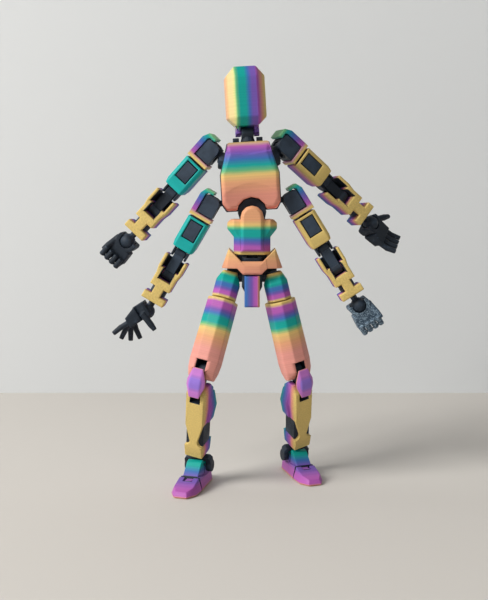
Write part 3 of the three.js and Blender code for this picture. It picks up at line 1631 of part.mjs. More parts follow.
const chest = body(
  waist,
  "chest",
  [0, 0, waistHeight],
  [["Y", -chestLean]],
  hinge("chest_lean", "Y", chestLeanRange),
);
const arms = [upperRightArm, upperLeftArm, lowerRightArm, lowerLeftArm];
const sockets = arms.map((arm) => {
  const peg = body(new THREE.Group(), "socket", socketPlace(arm), socketTurns(arm));
  peg.updateMatrix();
  return placed(socketRoom(arm), peg.matrix);
});
const hollowed = (made) => sockets.reduce((rest, room) => rest.subtract(room), made);
piece(chest, "chest_front_shell", hollowed(chestShell()), peach);
piece(chest, "chest_frame", hollowed(chestFrame()), charcoal);

const neck = body(
  chest,
  "neck",
  [0, neckSetback, chestHeight],
  [["Z", headTurn]],
  hinge("neck_turn", "Z", neckTurnRange),
);
piece(neck, "neck_post", neckPost(), charcoal);
const head = body(neck, "head", [0, 0, neckRise], [], hinge("head_nod", "X", headNodRange));
piece(head, "head_shell", headShell(), violet);

addArm(chest, "upper_right", upperRightArm, fist);
addArm(chest, "upper_left", upperLeftArm, openPalm);
addArm(chest, "lower_right", lowerRightArm, spreadHand);
addArm(chest, "lower_left", lowerLeftArm, curledHand);
addLeg(pelvis, "right", rightLeg);
addLeg(pelvis, "left", leftLeg);

// The origin lies under the middle of the figure.
figure.updateMatrixWorld(true);
const extent = new THREE.Box3().setFromObject(figure, true);
const middle = extent.getCenter(new THREE.Vector3());
figure.position.set(-middle.x, -middle.y, -extent.min.z);
figure.updateMatrixWorld(true);

export default figure;
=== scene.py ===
import json
import math

import bmesh
import bpy
from mathutils import Matrix, Vector
from mathutils.bvhtree import BVHTree


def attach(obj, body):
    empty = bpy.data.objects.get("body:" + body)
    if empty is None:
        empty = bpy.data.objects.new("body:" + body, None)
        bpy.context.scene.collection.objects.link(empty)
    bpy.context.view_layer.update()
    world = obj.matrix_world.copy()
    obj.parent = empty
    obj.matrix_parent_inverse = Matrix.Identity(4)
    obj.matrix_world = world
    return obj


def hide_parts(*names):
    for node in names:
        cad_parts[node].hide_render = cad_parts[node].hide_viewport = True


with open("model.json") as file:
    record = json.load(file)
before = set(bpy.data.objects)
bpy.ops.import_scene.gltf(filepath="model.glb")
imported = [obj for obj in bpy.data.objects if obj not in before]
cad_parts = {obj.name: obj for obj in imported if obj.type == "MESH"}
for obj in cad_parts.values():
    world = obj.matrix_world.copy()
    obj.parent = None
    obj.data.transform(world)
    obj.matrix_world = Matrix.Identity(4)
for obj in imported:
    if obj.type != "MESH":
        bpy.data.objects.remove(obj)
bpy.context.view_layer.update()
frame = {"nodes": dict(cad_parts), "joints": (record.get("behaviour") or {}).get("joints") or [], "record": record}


# The floor and the backdrop, plain and pale, with a soft window high on the left and a bright room.
# The camera stands a short arm's length in front of the figure and looks a little down on it.
scene = bpy.context.scene
scene.view_settings.view_transform = "Standard"
joint_of = {joint["name"]: joint for joint in frame["joints"]}
waist_middle = Vector(joint_of["waist_twist"]["pos_m"])
camera_aside, camera_distance, camera_height = 0.0026, 0.308, 0.097
camera_tilt = 6.5

lens = bpy.data.cameras.new("camera")
lens.sensor_width = 36
lens.lens = 57.06
lens.clip_start = 0.01
lens.clip_end = 20
camera = bpy.data.objects.new("camera", lens)
camera.location = (
    waist_middle.x - camera_aside,
    waist_middle.y - camera_distance,
    camera_height,
)
camera.rotation_euler = (math.radians(90 - camera_tilt), 0, 0)
scene.collection.objects.link(camera)
scene.camera = camera


class Wire:
    """One shader socket. Sums on it add Math nodes, and node() adds any other node."""

    def __init__(self, tree, socket=None):
        self.tree = tree
        self.socket = socket

    def node(self, kind, settings=None, sockets=None, output=0):
        made = self.tree.nodes.new(kind)
        for key, value in (settings or {}).items():
            if key == "stops":
                stops = made.color_ramp.elements
                stops.remove(stops[1])
                for place, colour in value:
                    stop = stops[0] if place == value[0][0] else stops.new(place)
                    stop.position = place
                    stop.color = (*colour, 1)
            else:
                setattr(made, key, value)
        for key, value in (sockets or {}).items():
            if isinstance(value, Wire):
                self.tree.links.new(value.socket, made.inputs[key])
            else:
                made.inputs[key].default_value = value
        return Wire(self.tree, made.outputs[output] if made.outputs else None)

    def math(self, operation, first, second=0):
        return self.node("ShaderNodeMath", {"operation": operation}, {0: first, 1: second})

    def __add__(self, other):
        return self.math("ADD", self, other)

    def __radd__(self, other):
        return self.math("ADD", other, self)

    def __sub__(self, other):
        return self.math("SUBTRACT", self, other)

    def __rsub__(self, other):
        return self.math("SUBTRACT", other, self)

    def __mul__(self, other):
        return self.math("MULTIPLY", self, other)

    def __rmul__(self, other):
        return self.math("MULTIPLY", other, self)

    def __truediv__(self, other):
        return self.math("DIVIDE", self, other)

    def __rtruediv__(self, other):
        return self.math("DIVIDE", other, self)


def blank_finish(name):
    made = bpy.data.materials.new(name)
    made.use_nodes = True
    made.node_tree.nodes.clear()
    return made, Wire(made.node_tree)


paper_dip = 0.97


def paper_finish(name, colour):
    """Pale paper in front, and clear from behind, so that the back of the figure can be seen too."""
    made, wire = blank_finish(name)
    cloud = wire.node("ShaderNodeTexNoise", sockets={"Scale": 6.0, "Detail": 3.0})
    dimmed = [paper_dip * channel for channel in colour]
    tone = wire.node(
        "ShaderNodeMix",
        {"data_type": "RGBA"},
        {"Factor": cloud, "A": (*dimmed, 1), "B": (*colour, 1)},
        "Result",
    )
    paper = wire.node(
        "ShaderNodeBsdfPrincipled", sockets={"Base Color": tone, "Roughness": 0.85}
    )
    clear = wire.node("ShaderNodeBsdfTransparent")
    behind = wire.node("ShaderNodeNewGeometry", output="Backfacing")
    surface = wire.node("ShaderNodeMixShader", sockets={0: behind, 1: paper, 2: clear})
    wire.node("ShaderNodeOutputMaterial", sockets={"Surface": surface})
    return made


def stage_sheet(name, corners, finish):
    sheet = bpy.data.meshes.new(name)
    sheet.from_pydata(corners, [], [(0, 1, 2, 3)])
    sheet.materials.append(finish)
    placed = bpy.data.objects.new(name, sheet)
    scene.collection.objects.link(placed)


reach, floor_front, wall_line, wall_top = 1.6, -0.9, 0.142, 1.6
stage_sheet(
    "floor",
    [
        (-reach, floor_front, 0),
        (reach, floor_front, 0),
        (reach, wall_line, 0),
        (-reach, wall_line, 0),
    ],
    paper_finish("pale_floor", (0.60, 0.57, 0.53)),
)
stage_sheet(
    "backdrop",
    [
        (-reach, wall_line, 0),
        (reach, wall_line, 0),
        (reach, wall_line, wall_top),
        (-reach, wall_line, wall_top),
    ],
    paper_finish("pale_backdrop", (0.685, 0.70, 0.705)),
)
figure_middle = Vector((0, 0, 0.07))


def window(name, place, size, power, colour):
    """A square of soft light, turned to the middle of the figure."""
    light = bpy.data.lights.new(name, "AREA")
    light.size = size
    light.energy = power
    light.color = colour
    hung = bpy.data.objects.new(name, light)
    hung.location = place
    hung.rotation_euler = (figure_middle - Vector(place)).to_track_quat("-Z", "Y").to_euler()
    scene.collection.objects.link(hung)


window("window", (-1.05, -0.66, 0.9), size=0.7, power=26.0, colour=(1.0, 0.985, 0.96))
window("room", (0.25, -0.9, 0.45), size=0.9, power=1.5, colour=(0.96, 0.98, 1.0))
sky = bpy.data.worlds.new("room_light")
sky.use_nodes = True
sky.node_tree.nodes["Background"].inputs["Color"].default_value = (0.92, 0.95, 1.0, 1)
sky.node_tree.nodes["Background"].inputs["Strength"].default_value = 0.10
scene.world = sky


# The jointed frame: pegs, eyes, links, yokes and cores, printed in charcoal plastic and snapped
# together. They carry fine layer lines and pale scuffs where a joint has been worked; the pale edges are partly
# painted highlight, and the blue in the plastic is painted sheen.
bodies = frame["record"]["behaviour"]["bodies"]
body_of = {node: body for body, held in bodies.items() for node in held}
up = Vector((0, 0, 1))


def pivot(name):
    return Vector(joint_of[name]["pos_m"])


def axis(name):
    return Vector(joint_of[name]["axis"])


def seat(origin, x=None, y=None, z=None):
    """The place of a piece, from its origin and two of its own directions."""
    if z is None:
        z = x.cross(y)
    if x is None:
        x = y.cross(z)
    z = z.normalized()
    y = z.cross(x).normalized()
    x = y.cross(z)
    turned = Matrix((x, y, z)).transposed().to_4x4()
    return Matrix.Translation(origin) @ turned


weld_gap = 2e-5
flat_angle = math.radians(2)
sharp_angle = math.radians(24)


def form_of(node, place, edge, soften=2):
    """The node's solid in its own place, with its coplanar faces joined and its edges rounded."""
    form = bmesh.new()
    form.from_mesh(frame["nodes"][node].data)
    form.transform(place.inverted())
    bmesh.ops.remove_doubles(form, verts=form.verts, dist=weld_gap)
    bmesh.ops.dissolve_limit(form, angle_limit=flat_angle, verts=form.verts, edges=form.edges)
    dented = [face for face in form.faces if not all(corner.is_convex for corner in face.loops)]
    bmesh.ops.triangulate(form, faces=dented)
    bare = BVHTree.FromBMesh(form)
    sharp = [
        line
        for line in form.edges
        if line.is_convex
        and line.calc_length() > 2 * edge
        and line.calc_face_angle(0) > sharp_angle
    ]
    bmesh.ops.bevel(
        form,
        geom=sharp,
        offset=edge,
        offset_type="OFFSET",
        segments=soften,
        profile=0.5,
        affect="EDGES",
        clamp_overlap=False,
    )
    for vert in form.verts:
        near, outside, _, _ = bare.find_nearest(vert.co)
        if (vert.co - near).dot(outside) > 0:
            vert.co = near
    return form


def settle(node, form, place, finishes, crisp=35):
    """Puts a finished form in the node's stead, on its body. Edges over crisp degrees stay sharp."""
    skin = bpy.data.meshes.new(node)
    form.to_mesh(skin)
    form.free()
    for finish in finishes:
        skin.materials.append(finish)
    skin.polygons.foreach_set("use_smooth", [True] * len(skin.polygons))
    skin.set_sharp_from_angle(angle=math.radians(crisp))
    placed = bpy.data.objects.new(f"{node}.print", skin)
    placed.matrix_world = place
    placed.modifiers.new("flat_faces", "WEIGHTED_NORMAL").keep_sharp = True
    scene.collection.objects.link(placed)
    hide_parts(node)
    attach(placed, body_of[node])


layer = 0.0002
relief_depth = 0.00006


def noise(spot, scale, detail=2.0):
    return spot.node(
        "ShaderNodeTexNoise", sockets={"Vector": spot, "Scale": scale, "Detail": detail}
    )


def layer_lines(height):
    """A wave with one crest to each printed layer."""
    return height.math("SINE", height * (2 * math.pi / layer))


def print_surface(wire, tone, roughness, rise, strength, shine):
    """Printed plastic of this tone, with its rise drawn in relief."""
    relief = wire.node(
        "ShaderNodeBump",
        sockets={"Height": rise, "Strength": strength, "Distance": relief_depth},
    )
    surface = wire.node(
        "ShaderNodeBsdfPrincipled",
        sockets={
            "Base Color": tone,
            "Roughness": roughness,
            "Normal": relief,
            "Specular IOR Level": shine,
        },
    )
    wire.node("ShaderNodeOutputMaterial", sockets={"Surface": surface})


edge_ragged = 0.08
patch_share, patch_blend = 0.75, 0.18
charcoal_layer_rise, charcoal_grit_rise = 0.35, 0.8
charcoal_roughness, charcoal_roughness_spread = 0.46, 0.22


def charcoal_finish(name, dark, pale, scuff_and_sheen, patches=420.0, bare=0.54):
    """Dark plastic, turned towards pale on its edges, as scuffs and as painted highlight, and in the scuffed
    patches that rise above bare.
    """
    made, wire = blank_finish(name)
    spot = wire.node("ShaderNodeTexCoord", output="Object")
    height = wire.node("ShaderNodeSeparateXYZ", sockets={"Vector": spot}, output="Z")
    cloud = noise(spot, patches, detail=5.0)
    grit = noise(spot, 5200.0)
    edge = wire.node("ShaderNodeNewGeometry", output="Pointiness")
    # Edges turn pale partly as wear and partly as painted highlight where they would catch the light.
    worn_and_lit_edges = wire.node(
        "ShaderNodeMapRange",
        {"interpolation_type": "SMOOTHSTEP"},
        {
            "Value": edge + cloud * edge_ragged,
            "From Min": 0.555,
            "From Max": 0.63,
            "To Max": scuff_and_sheen,
        },
    )
    pale_marked = wire.node(
        "ShaderNodeMapRange",
        {"interpolation_type": "SMOOTHSTEP"},
        {
            "Value": cloud * patch_share + grit * (1 - patch_share),
            "From Min": bare,
            "From Max": bare + patch_blend,
            "To Max": scuff_and_sheen,
        },
    )
    tone = wire.node(
        "ShaderNodeMix",
        {"data_type": "RGBA"},
        {"Factor": wire.math("MAXIMUM", worn_and_lit_edges, pale_marked), "A": (*dark, 1), "B": (*pale, 1)},
        "Result",
    )
    print_surface(
        wire,
        tone,
        roughness=charcoal_roughness + cloud * charcoal_roughness_spread,
        rise=layer_lines(height) * charcoal_layer_rise + grit * charcoal_grit_rise,
        strength=0.35,
        shine=0.32,
    )
    return made


# The blue in both tones is painted sheen from the window, and the pale tone is partly a painted highlight.
charcoal = charcoal_finish(
    "charcoal_print", dark=(0.011, 0.018, 0.029), pale=(0.055, 0.085, 0.13), scuff_and_sheen=0.55
)
upright = Matrix.Translation(pivot("waist_twist"))
chest_seat = seat(pivot("chest_lean"), y=axis("chest_lean"), z=axis("neck_turn"))
neck_seat = seat(pivot("neck_turn"), x=axis("head_nod"), z=axis("neck_turn"))
arms = ["upper_right", "upper_left", "lower_right", "lower_left"]
legs = ["right", "left"]
outward = {"right": -1, "left": 1}
arm_seat, forearm_seat, cap_seat = {}, {}, {}
for arm in arms:
    side = outward[arm.split("_")[1]]
    along = (pivot(f"{arm}_elbow_upper") - pivot(f"{arm}_elbow_lower")).normalized()
    if f"{arm}_swivel" in joint_of:
        along = axis(f"{arm}_swivel")
    across = axis(f"{arm}_elbow_upper")
    cap_seat[arm] = seat(pivot(f"{arm}_raise"), y=-side * axis(f"{arm}_raise"), z=along)
    arm_seat[arm] = seat(pivot(f"{arm}_elbow_upper"), x=across, z=along)
    forearm_seat[arm] = seat(
        pivot(f"{arm}_elbow_lower"), x=axis(f"{arm}_elbow_lower"), z=axis(f"{arm}_wrist_twist")
    )
hip_seat, knee_seat, ankle_seat = {}, {}, {}
for leg in legs:
    hip_seat[leg] = seat(pivot(f"{leg}_hip_swing"), x=axis(f"{leg}_hip_swing"), z=up)
    knee_seat[leg] = seat(
        pivot(f"{leg}_knee_upper"),
        x=axis(f"{leg}_knee_upper"),
        z=pivot(f"{leg}_knee_upper") - pivot(f"{leg}_knee_lower"),
    )
    ankle_seat[leg] = seat(
        pivot(f"{leg}_ankle_roll"),
        y=axis(f"{leg}_ankle_roll"),
        z=pivot(f"{leg}_ankle_roll") - pivot(f"{leg}_ankle_pitch"),
    )

frame_places = {"pelvis_frame": upright, "chest_frame": chest_seat, "neck_post": neck_seat}
for arm in arms:
    frame_places[f"{arm}_shoulder_peg"] = cap_seat[arm]
    frame_places[f"{arm}_upper_arm_frame"] = arm_seat[arm]
    frame_places[f"{arm}_elbow_link"] = arm_seat[arm]
    frame_places[f"{arm}_wrist_peg"] = forearm_seat[arm]
    if f"{arm}_swivel" in joint_of:
        frame_places[f"{arm}_shoulder_block"] = cap_seat[arm]
for leg in legs:
    frame_places[f"{leg}_hip_joint"] = hip_seat[leg]
    frame_places[f"{leg}_knee_link"] = knee_seat[leg]
    frame_places[f"{leg}_ankle_yoke"] = ankle_seat[leg]
for node, place in frame_places.items():
    settle(node, form_of(node, place, edge=0.00018), place, [charcoal])


# The pelvis cover: a winged bowl clipped over the frame, printed in the peach stretch of a
# filament that changes colour as it runs through the printer.
salmon = (0.68, 0.27, 0.20)
peach = (0.72, 0.35, 0.18)
yellow = (0.74, 0.52, 0.18)
mm_per_m = 1000
noise_middle = 0.5
band_waver = 0.03
base_shade, layer_shade, grit_shade, grain_shade = 0.94, 0.10, 0.10, 0.75
layer_rise, grit_rise, grain_rise = 0.3, 0.4, 2.4
base_roughness, cloud_roughness, grain_roughness = 0.38, 0.12, 0.2


def filament_finish(name, direction, start, end, stops, grain=0.0, stack=None):
    """Filament banded along one of the piece's own directions, from start to end in millimetres.

    Its layers lie across stack, or across the bands' own direction. Grain is a rough bed's print.
    """
    made, wire = blank_finish(name)
    spot = wire.node("ShaderNodeTexCoord", output="Object")
    along = wire.node("ShaderNodeSeparateXYZ", sockets={"Vector": spot}, output=direction)
    height = wire.node("ShaderNodeSeparateXYZ", sockets={"Vector": spot}, output=stack or direction)
    cloud = noise(spot, 160.0)
    grit = noise(spot, 4200.0)
    pebble = noise(spot, 2500.0, detail=3.0)
    waver = (cloud - noise_middle) * band_waver
    share = (along * mm_per_m - start) / (end - start) + waver
    band = wire.node("ShaderNodeValToRGB", {"stops": stops}, {"Fac": share}, "Color")
    steps = wire.math("FLOOR", height / layer)
    uneven = wire.node("ShaderNodeTexWhiteNoise", {"noise_dimensions": "1D"}, {"W": steps})
    gritty = (grit - noise_middle) * grit_shade
    pebbly = (pebble - noise_middle) * (grain_shade * grain)
    shade = base_shade + uneven * layer_shade + gritty + pebbly
    shaded = wire.node(
        "ShaderNodeMix",
        {"data_type": "RGBA", "blend_type": "MULTIPLY"},
        {"Factor": 1.0, "A": band, "B": shade},
        "Result",
    )
    print_surface(
        wire,
        shaded,
        roughness=base_roughness + cloud * cloud_roughness + grain * grain_roughness,
        rise=layer_lines(height) * layer_rise + grit * grit_rise + pebble * (grain_rise * grain),
        strength=0.3,
        shine=0.24,
    )
    return made


settle(
    "pelvis_shell",
    form_of("pelvis_shell", upright, edge=0.00025),
    upright,
    [
        filament_finish(
            "pelvis_filament",
            "Z",
            start=-6.5,
            end=2.2,
            stops=[(0, salmon), (0.55, peach), (1, yellow)],
        )
    ],
    crisp=9,
)


# The flap in front of the hips: a flat strip of printed filament with a plug at its top.
# It is pushed into the pelvis frame, and its colours change across its width.
blue = (0.045, 0.145, 0.42)
violet = (0.17, 0.09, 0.40)
magenta = (0.42, 0.10, 0.41)
gold = (0.67, 0.495, 0.165)
settle(
    "crotch_flap",
    form_of("crotch_flap", upright, edge=0.0002),
    upright,
    [
        filament_finish(
            "flap_filament",
            "X",
            start=-2.5,
            end=2.5,
            stops=[
                (0.15, blue),
                (0.48, violet),
                (0.7, magenta),
                (0.8, magenta),
                (0.92, salmon),
                (1.0, gold),
            ],
        )
    ],
)


# The waist: a winged block with a rounded lobe in front, printed in one piece of filament.
# It turns on the pelvis frame's post, and its lobe clasps the chest's disc.
teal = (0.004, 0.34, 0.30)
green = (0.15, 0.45, 0.20)
settle(
    "waist_shell",
    form_of("waist_shell", upright, edge=0.0003),
    upright,
    [
        filament_finish(
            "waist_filament",
            "Z",
            start=0,
            end=15.8,
            stops=[
                (0.0, gold),
                (0.045, gold),
                (0.09, magenta),
                (0.16, magenta),
                (0.23, violet),
                (0.31, blue),
                (0.38, teal),
                (0.5, teal),
                (0.55, green),
                (0.6, yellow),
                (0.7, peach),
                (1.0, peach),
            ],
        )
    ],
)


# The breastplate: a faceted printed shell, with its collar set back along a shallow V and a
# hollow above the waist. It is clipped on the chest frame and banded from collar to foot.
# Its sizes are in millimetres, and the cuts give it rows and columns of points to set back.
column_gap, columns = 0.45, range(-20, 21)
row_gap, rows = 0.4, range(3, 56)
front_line, front_blend = -4.6, 0.6
collar_height, collar_rise, collar_slope, collar_depth = 18.1, 0.13, 0.5, 0.65
brow_height, brow_drop, brow_reach = 9.1, 3.6, 9.2
hollow_step, hollow_slope, hollow_depth = 0.12, 0.2, 1.4
chest_form = form_of("chest_front_shell", chest_seat, edge=0.0005, soften=3)
cuts = [(Vector((column_gap * step, 0, 0)), (1, 0, 0)) for step in columns]
cuts += [(Vector((0, 0, row_gap * step)), (0, 0, 1)) for step in rows]
for lift in (0, collar_slope):
    for side in (-1, 1):
        cuts.append((Vector((0, 0, collar_height + lift)), (-side * collar_rise, 0, 1)))
for place, direction in cuts:
    everything = chest_form.verts[:] + chest_form.edges[:] + chest_form.faces[:]
    bmesh.ops.bisect_plane(
        chest_form, geom=everything, plane_co=place / mm_per_m, plane_no=direction
    )
for vert in chest_form.verts:
    x, y, z = vert.co * mm_per_m
    front = min(1, max(0, (front_line - y) / front_blend))
    collar = min(1, max(0, (z - collar_height - collar_rise * abs(x)) / collar_slope))
    brow = brow_height - brow_drop * (x / brow_reach) ** 2
    ledge = hollow_step if z < brow else 0
    hollow = min(hollow_depth, max(0, brow - z) * hollow_slope + ledge)
    vert.co.y += front * (collar_depth * collar + hollow) / mm_per_m
settle(
    "chest_front_shell",
    chest_form,
    chest_seat,
    [
        filament_finish(
            "chest_filament",
            "Z",
            start=0.8,
            end=22.4,
            stops=[
                (0.0, salmon),
                (0.22, salmon),
                (0.42, peach),
                (0.52, yellow),
                (0.58, green),
                (0.65, teal),
                (0.75, blue),
                (0.84, violet),
                (0.93, magenta),
                (1.0, gold),
            ],
        )
    ],
)


# The head: one faceted block without a face, on two cheeks that hold the eye of the neck post.
# It is printed filament, and its bands stand upright.
cream = (0.72, 0.57, 0.27)
lemon = (0.62, 0.60, 0.24)
cheek_top = 1.2
head_seat = seat(pivot("head_nod"), x=axis("head_nod"), z=axis("neck_turn"))


def lined(form, inside):
    """Gives the second finish to the faces that lie inside, tested on their middle in millimetres."""
    for face in form.faces:
        middle = face.calc_center_median() * mm_per_m
        face.material_index = 1 if inside(middle, face.normal) else 0
    return form


def in_cheeks(spot, _outside):
    return spot.z < cheek_top


settle(
    "head_shell",
    lined(form_of("head_shell", head_seat, edge=0.00045, soften=3), in_cheeks),
    head_seat,
    [
        filament_finish(
            "head_filament",
            "X",
            start=-6.4,
            end=6.4,
            stops=[
                (0.0, peach),
                (0.07, cream),
                (0.15, cream),
                (0.2, lemon),
                (0.24, green),
                (0.32, teal),
                (0.46, teal),
                (0.55, blue),
                (0.64, violet),
                (0.73, violet),
                (0.79, magenta),
                (0.87, salmon),
                (0.95, gold),
            ],
            stack="Z",
        ),
        filament_finish(
            "cheek_filament",
            "Z",
            start=-2.4,
            end=1.6,
            stops=[(0.0, blue), (0.4, violet), (1, violet)],
        ),
    ],
)


# The shoulder caps: a curled plate over the shoulder, and a ring that slips on the upper arm.
# They are printed filament, banded from the top of the shoulder to the ring.
cap_filament = filament_finish(
    "cap_filament",
    "Z",
    start=-6.6,
    end=3.2,
    stops=[
        (0.0, gold),
        (0.08, gold),
        (0.2, magenta),
        (0.45, violet),
        (0.68, blue),
        (0.9, teal),
        (1.0, green),
    ],
)
for arm in arms:
    node = f"{arm}_shoulder_cap"
    settle(node, form_of(node, cap_seat[arm], edge=0.00018), cap_seat[arm], [cap_filament])


# The upper arm shells: square printed sleeves with a window, slid over the core of the arm.
# They are turquoise on the right arms, brightened as painted sheen, and gold on the left ones.
# The sleeves' teal, made brighter and bluer than the filament as painted sheen.
turquoise_with_sheen = (0.008, 0.38, 0.36)
sleeve_front, sleeve_back = -4.4, 4.4
turquoise_sleeve = filament_finish(
    "turquoise_sleeve",
    "Y",
    sleeve_front,
    sleeve_back,
    stops=[(0.0, turquoise_with_sheen), (0.35, turquoise_with_sheen), (0.62, blue), (0.85, violet), (1, violet)],
)
gold_sleeve = filament_finish(
    "gold_sleeve",
    "Y",
    sleeve_front,
    sleeve_back,
    stops=[(0.0, gold), (0.1, gold), (0.3, salmon), (0.5, magenta), (0.75, violet), (1, blue)],
    grain=0.3,
)
for arm in arms:
    node = f"{arm}_upper_arm_shell"
    sleeve = turquoise_sleeve if arm.endswith("right") else gold_sleeve
    settle(node, form_of(node, arm_seat[arm], edge=0.00025), arm_seat[arm], [sleeve])


# The forearms: an open fork on the elbow link, a notched neck and a wrist bar, printed face down
# on a rough bed. Where the link folds into the fork, its inside is painted charcoal as shade.
bed_grain = 0.8
fork_half, fork_floor, fork_back = 3.1, -2.4, 2
facing = 0.5


def shaded_in_fork(spot, outside):
    """The cheeks of the fork that face each other, and the back wall between them, which get charcoal as painted
    shade.
    """
    cheek = outside.x * spot.x < -facing * abs(spot.x)
    wall = outside.y < -facing and spot.y > fork_back
    return (cheek or wall) and abs(spot.x) < fork_half and spot.z > fork_floor


forearm_filament = filament_finish(
    "forearm_filament",
    "Y",
    start=-3.9,
    end=3.9,
    stops=[
        (0.0, gold),
        (0.12, gold),
        (0.3, salmon),
        (0.48, magenta),
        (0.68, violet),
        (0.86, blue),
        (1.0, teal),
    ],
    grain=bed_grain,
)
for arm in arms:
    node = f"{arm}_forearm_shell"
    # The inside of the fork is painted charcoal as shade.
    form = lined(form_of(node, forearm_seat[arm], edge=0.00022), shaded_in_fork)
    settle(node, form, forearm_seat[arm], [forearm_filament, charcoal])


# The hands: small prints in charcoal with soft edges, which snap over the wrist balls.
# One of the four is pale all over, tinted blue as painted sheen like the rest of the charcoal.
def melted(form, bead, rounds):
    """The same form with its corners and creases run together, as on a small print."""
    rough = bpy.data.objects.new("rough", bpy.data.meshes.new("rough"))
    form.to_mesh(rough.data)
    scene.collection.objects.link(rough)
    melt = rough.modifiers.new("melt", "REMESH")
    melt.mode = "VOXEL"
    melt.voxel_size = bead
    rough.modifiers.new("ease", "SMOOTH").iterations = rounds
    form.clear()
    form.from_mesh(rough.evaluated_get(bpy.context.evaluated_depsgraph_get()).to_mesh())
    bpy.data.objects.remove(rough)
    return form


# A paler charcoal, whose blue tint is painted sheen.
pale_charcoal = charcoal_finish(
    "pale_hand_print",
    dark=(0.04, 0.068, 0.105),
    pale=(0.27, 0.37, 0.45),
    scuff_and_sheen=0.9,
    patches=2300.0,
    bare=0.45,
)
for arm in arms:
    node = f"{arm}_hand"
    pale_marked = pale_charcoal if arm == "lower_left" else charcoal
    place = seat(
        pivot(f"{arm}_wrist_bend"), x=axis(f"{arm}_wrist_bend"), z=axis(f"{arm}_wrist_twist")
    )
    form = melted(form_of(node, place, edge=0.0001), bead=0.00016, rounds=7)
    settle(node, form, place, [pale_marked])


# The upper thighs: short faceted cups in printed filament, banded down the leg.
# Each holds a hip pin, and its peg carries the thigh below.
upper_thigh_filament = filament_finish(
    "upper_thigh_filament",
    "Z",
    start=-7.7,
    end=1.6,
    stops=[
        (0.0, gold),
        (0.06, gold),
        (0.13, magenta),
        (0.22, magenta),
        (0.31, violet),
        (0.42, blue),
        (0.5, blue),
        (0.6, teal),
        (0.8, teal),
        (0.87, green),
        (0.94, gold),
        (1.0, gold),
    ],
)
for leg in legs:
    node = f"{leg}_upper_thigh_shell"
    side = outward[leg]
    place = seat(
        pivot(f"{leg}_hip_spread"),
        y=-side * axis(f"{leg}_hip_spread"),
        z=-side * axis(f"{leg}_thigh_swivel"),
    )
    settle(node, form_of(node, place, edge=0.00035), place, [upper_thigh_filament])


# The thighs: long faceted shells in printed filament, which swivel on the peg above.
# Each ends in the fork of the knee, whose inside is painted charcoal as shade.
rose = (0.72, 0.30, 0.25)
slot_half, thigh_slot_back, thigh_slot_top = 1.75, 3.2, -20.9
thigh_filament = filament_finish(
    "thigh_filament",
    "Z",
    start=-26.8,
    end=-0.3,
    stops=[
        (0.0, rose),
        (0.36, rose),
        (0.5, peach),
        (0.61, yellow),
        (0.655, green),
        (0.69, teal),
        (0.755, teal),
        (0.8, blue),
        (0.845, violet),
        (0.89, magenta),
        (0.945, magenta),
        (0.98, gold),
    ],
)


# The inside of the knee's slot, which gets charcoal as painted shade.
def shaded_thigh_slot(spot, _outside):
    return abs(spot.x) < slot_half and spot.y < thigh_slot_back and spot.z < thigh_slot_top


for leg in legs:
    node = f"{leg}_thigh_shell"
    place = seat(
        pivot(f"{leg}_thigh_swivel"),
        x=axis(f"{leg}_knee_upper"),
        z=-outward[leg] * axis(f"{leg}_thigh_swivel"),
    )
    form = lined(form_of(node, place, edge=0.00035, soften=3), shaded_thigh_slot)
    settle(node, form, place, [thigh_filament, charcoal])


# The kneecaps: creased hexagon plates in printed filament.
# Each is glued to the middle of its knee link and goes where the link goes.
lilac = (0.27, 0.16, 0.58)
orchid = (0.49, 0.17, 0.53)
kneecap_filament = filament_finish(
    "kneecap_filament",
    "Y",
    start=-6.1,
    end=-4.4,
    stops=[(0.0, lilac), (0.1, lilac), (0.34, orchid), (0.6, orchid), (0.82, salmon), (1, gold)],
)
for leg in legs:
    node = f"{leg}_kneecap"
    form = form_of(node, knee_seat[leg], edge=0.0003, soften=3)
    settle(node, form, knee_seat[leg], [kneecap_filament])


# The shins: a face plate with a narrow waist, calves behind it and a cuff over the ankle.
# They are printed face down on a rough bed, round a charcoal core that hangs on the knee link.
shin_slot_floor = -2.85
core_foot, core_top, core_half, core_depth = -19.3, -11.9, 3.1, 2.9
shin_filament = filament_finish(
    "shin_filament",
    "Y",
    start=-4.1,
    end=4.9,
    stops=[
        (0.0, gold),
        (0.12, gold),
        (0.26, salmon),
        (0.4, magenta),
        (0.58, violet),
        (0.74, blue),
        (0.92, teal),
    ],
    grain=bed_grain,
)


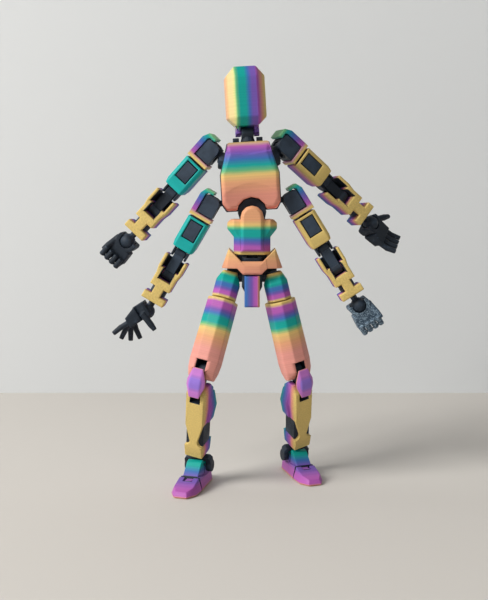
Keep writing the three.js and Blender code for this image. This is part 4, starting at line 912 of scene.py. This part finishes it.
def in_core_and_shaded_slot(spot, _outside):
    """The slot that the knee link folds into, painted charcoal as shade, and the charcoal core between the plate
    and the calves.
    """
    slot = abs(spot.x) < slot_half and spot.z > shin_slot_floor
    level = core_foot < spot.z < core_top
    return slot or (level and abs(spot.x) < core_half and abs(spot.y) < core_depth)


for leg in legs:
    node = f"{leg}_shin_shell"
    place = seat(
        pivot(f"{leg}_knee_lower"), x=axis(f"{leg}_knee_lower"), y=axis(f"{leg}_ankle_roll")
    )
    # The slot's inside is painted charcoal as shade; the core is the real charcoal core.
    form = lined(form_of(node, place, edge=0.00022), in_core_and_shaded_slot)
    settle(node, form, place, [shin_filament, charcoal])


# The feet: a heel, a hub between the ankle's ears and an instep, printed as one piece.
# They are banded up from the sole, with charcoal painted as shade in the seam where the toe is hinged on.
seam_ahead = 2.4
seam_facing = 0.85
foot_filament = filament_finish(
    "foot_filament",
    "Z",
    start=-6.4,
    end=2.6,
    stops=[
        (0.0, gold),
        (0.05, salmon),
        (0.14, magenta),
        (0.34, magenta),
        (0.5, violet),
        (0.66, blue),
        (0.84, teal),
        (1.0, teal),
    ],
)


def shaded_behind_toe(toe_line):
    """The test for faces that look forward and lie behind the toe's line, which get charcoal as painted shade."""
    return lambda spot, outside: outside.y < -seam_facing and spot.y > toe_line


for leg in legs:
    node = f"{leg}_foot"
    place = seat(pivot(f"{leg}_ankle_pitch"), x=axis(f"{leg}_ankle_pitch"), z=up)
    hinge = place.inverted() @ pivot(f"{leg}_toe_bend")
    # The seam behind the toe is painted charcoal as shade.
    seam_shade = shaded_behind_toe(hinge.y * mm_per_m - seam_ahead)
    form = lined(form_of(node, place, edge=0.00025), seam_shade)
    settle(node, form, place, [foot_filament, charcoal])


# The toes: printed caps hinged on the front of the feet, with a slot that the foot's tongue
# fills. They are banded up from the sole, as the feet are.
toe_filament = filament_finish(
    "toe_filament",
    "Z",
    start=-2.7,
    end=1.9,
    stops=[
        (0.0, gold),
        (0.07, salmon),
        (0.2, magenta),
        (0.55, magenta),
        (0.85, violet),
        (1, violet),
    ],
)
for leg in legs:
    node = f"{leg}_toe"
    place = seat(pivot(f"{leg}_toe_bend"), x=axis(f"{leg}_toe_bend"), z=up)
    settle(node, form_of(node, place, edge=0.00022), place, [toe_filament])
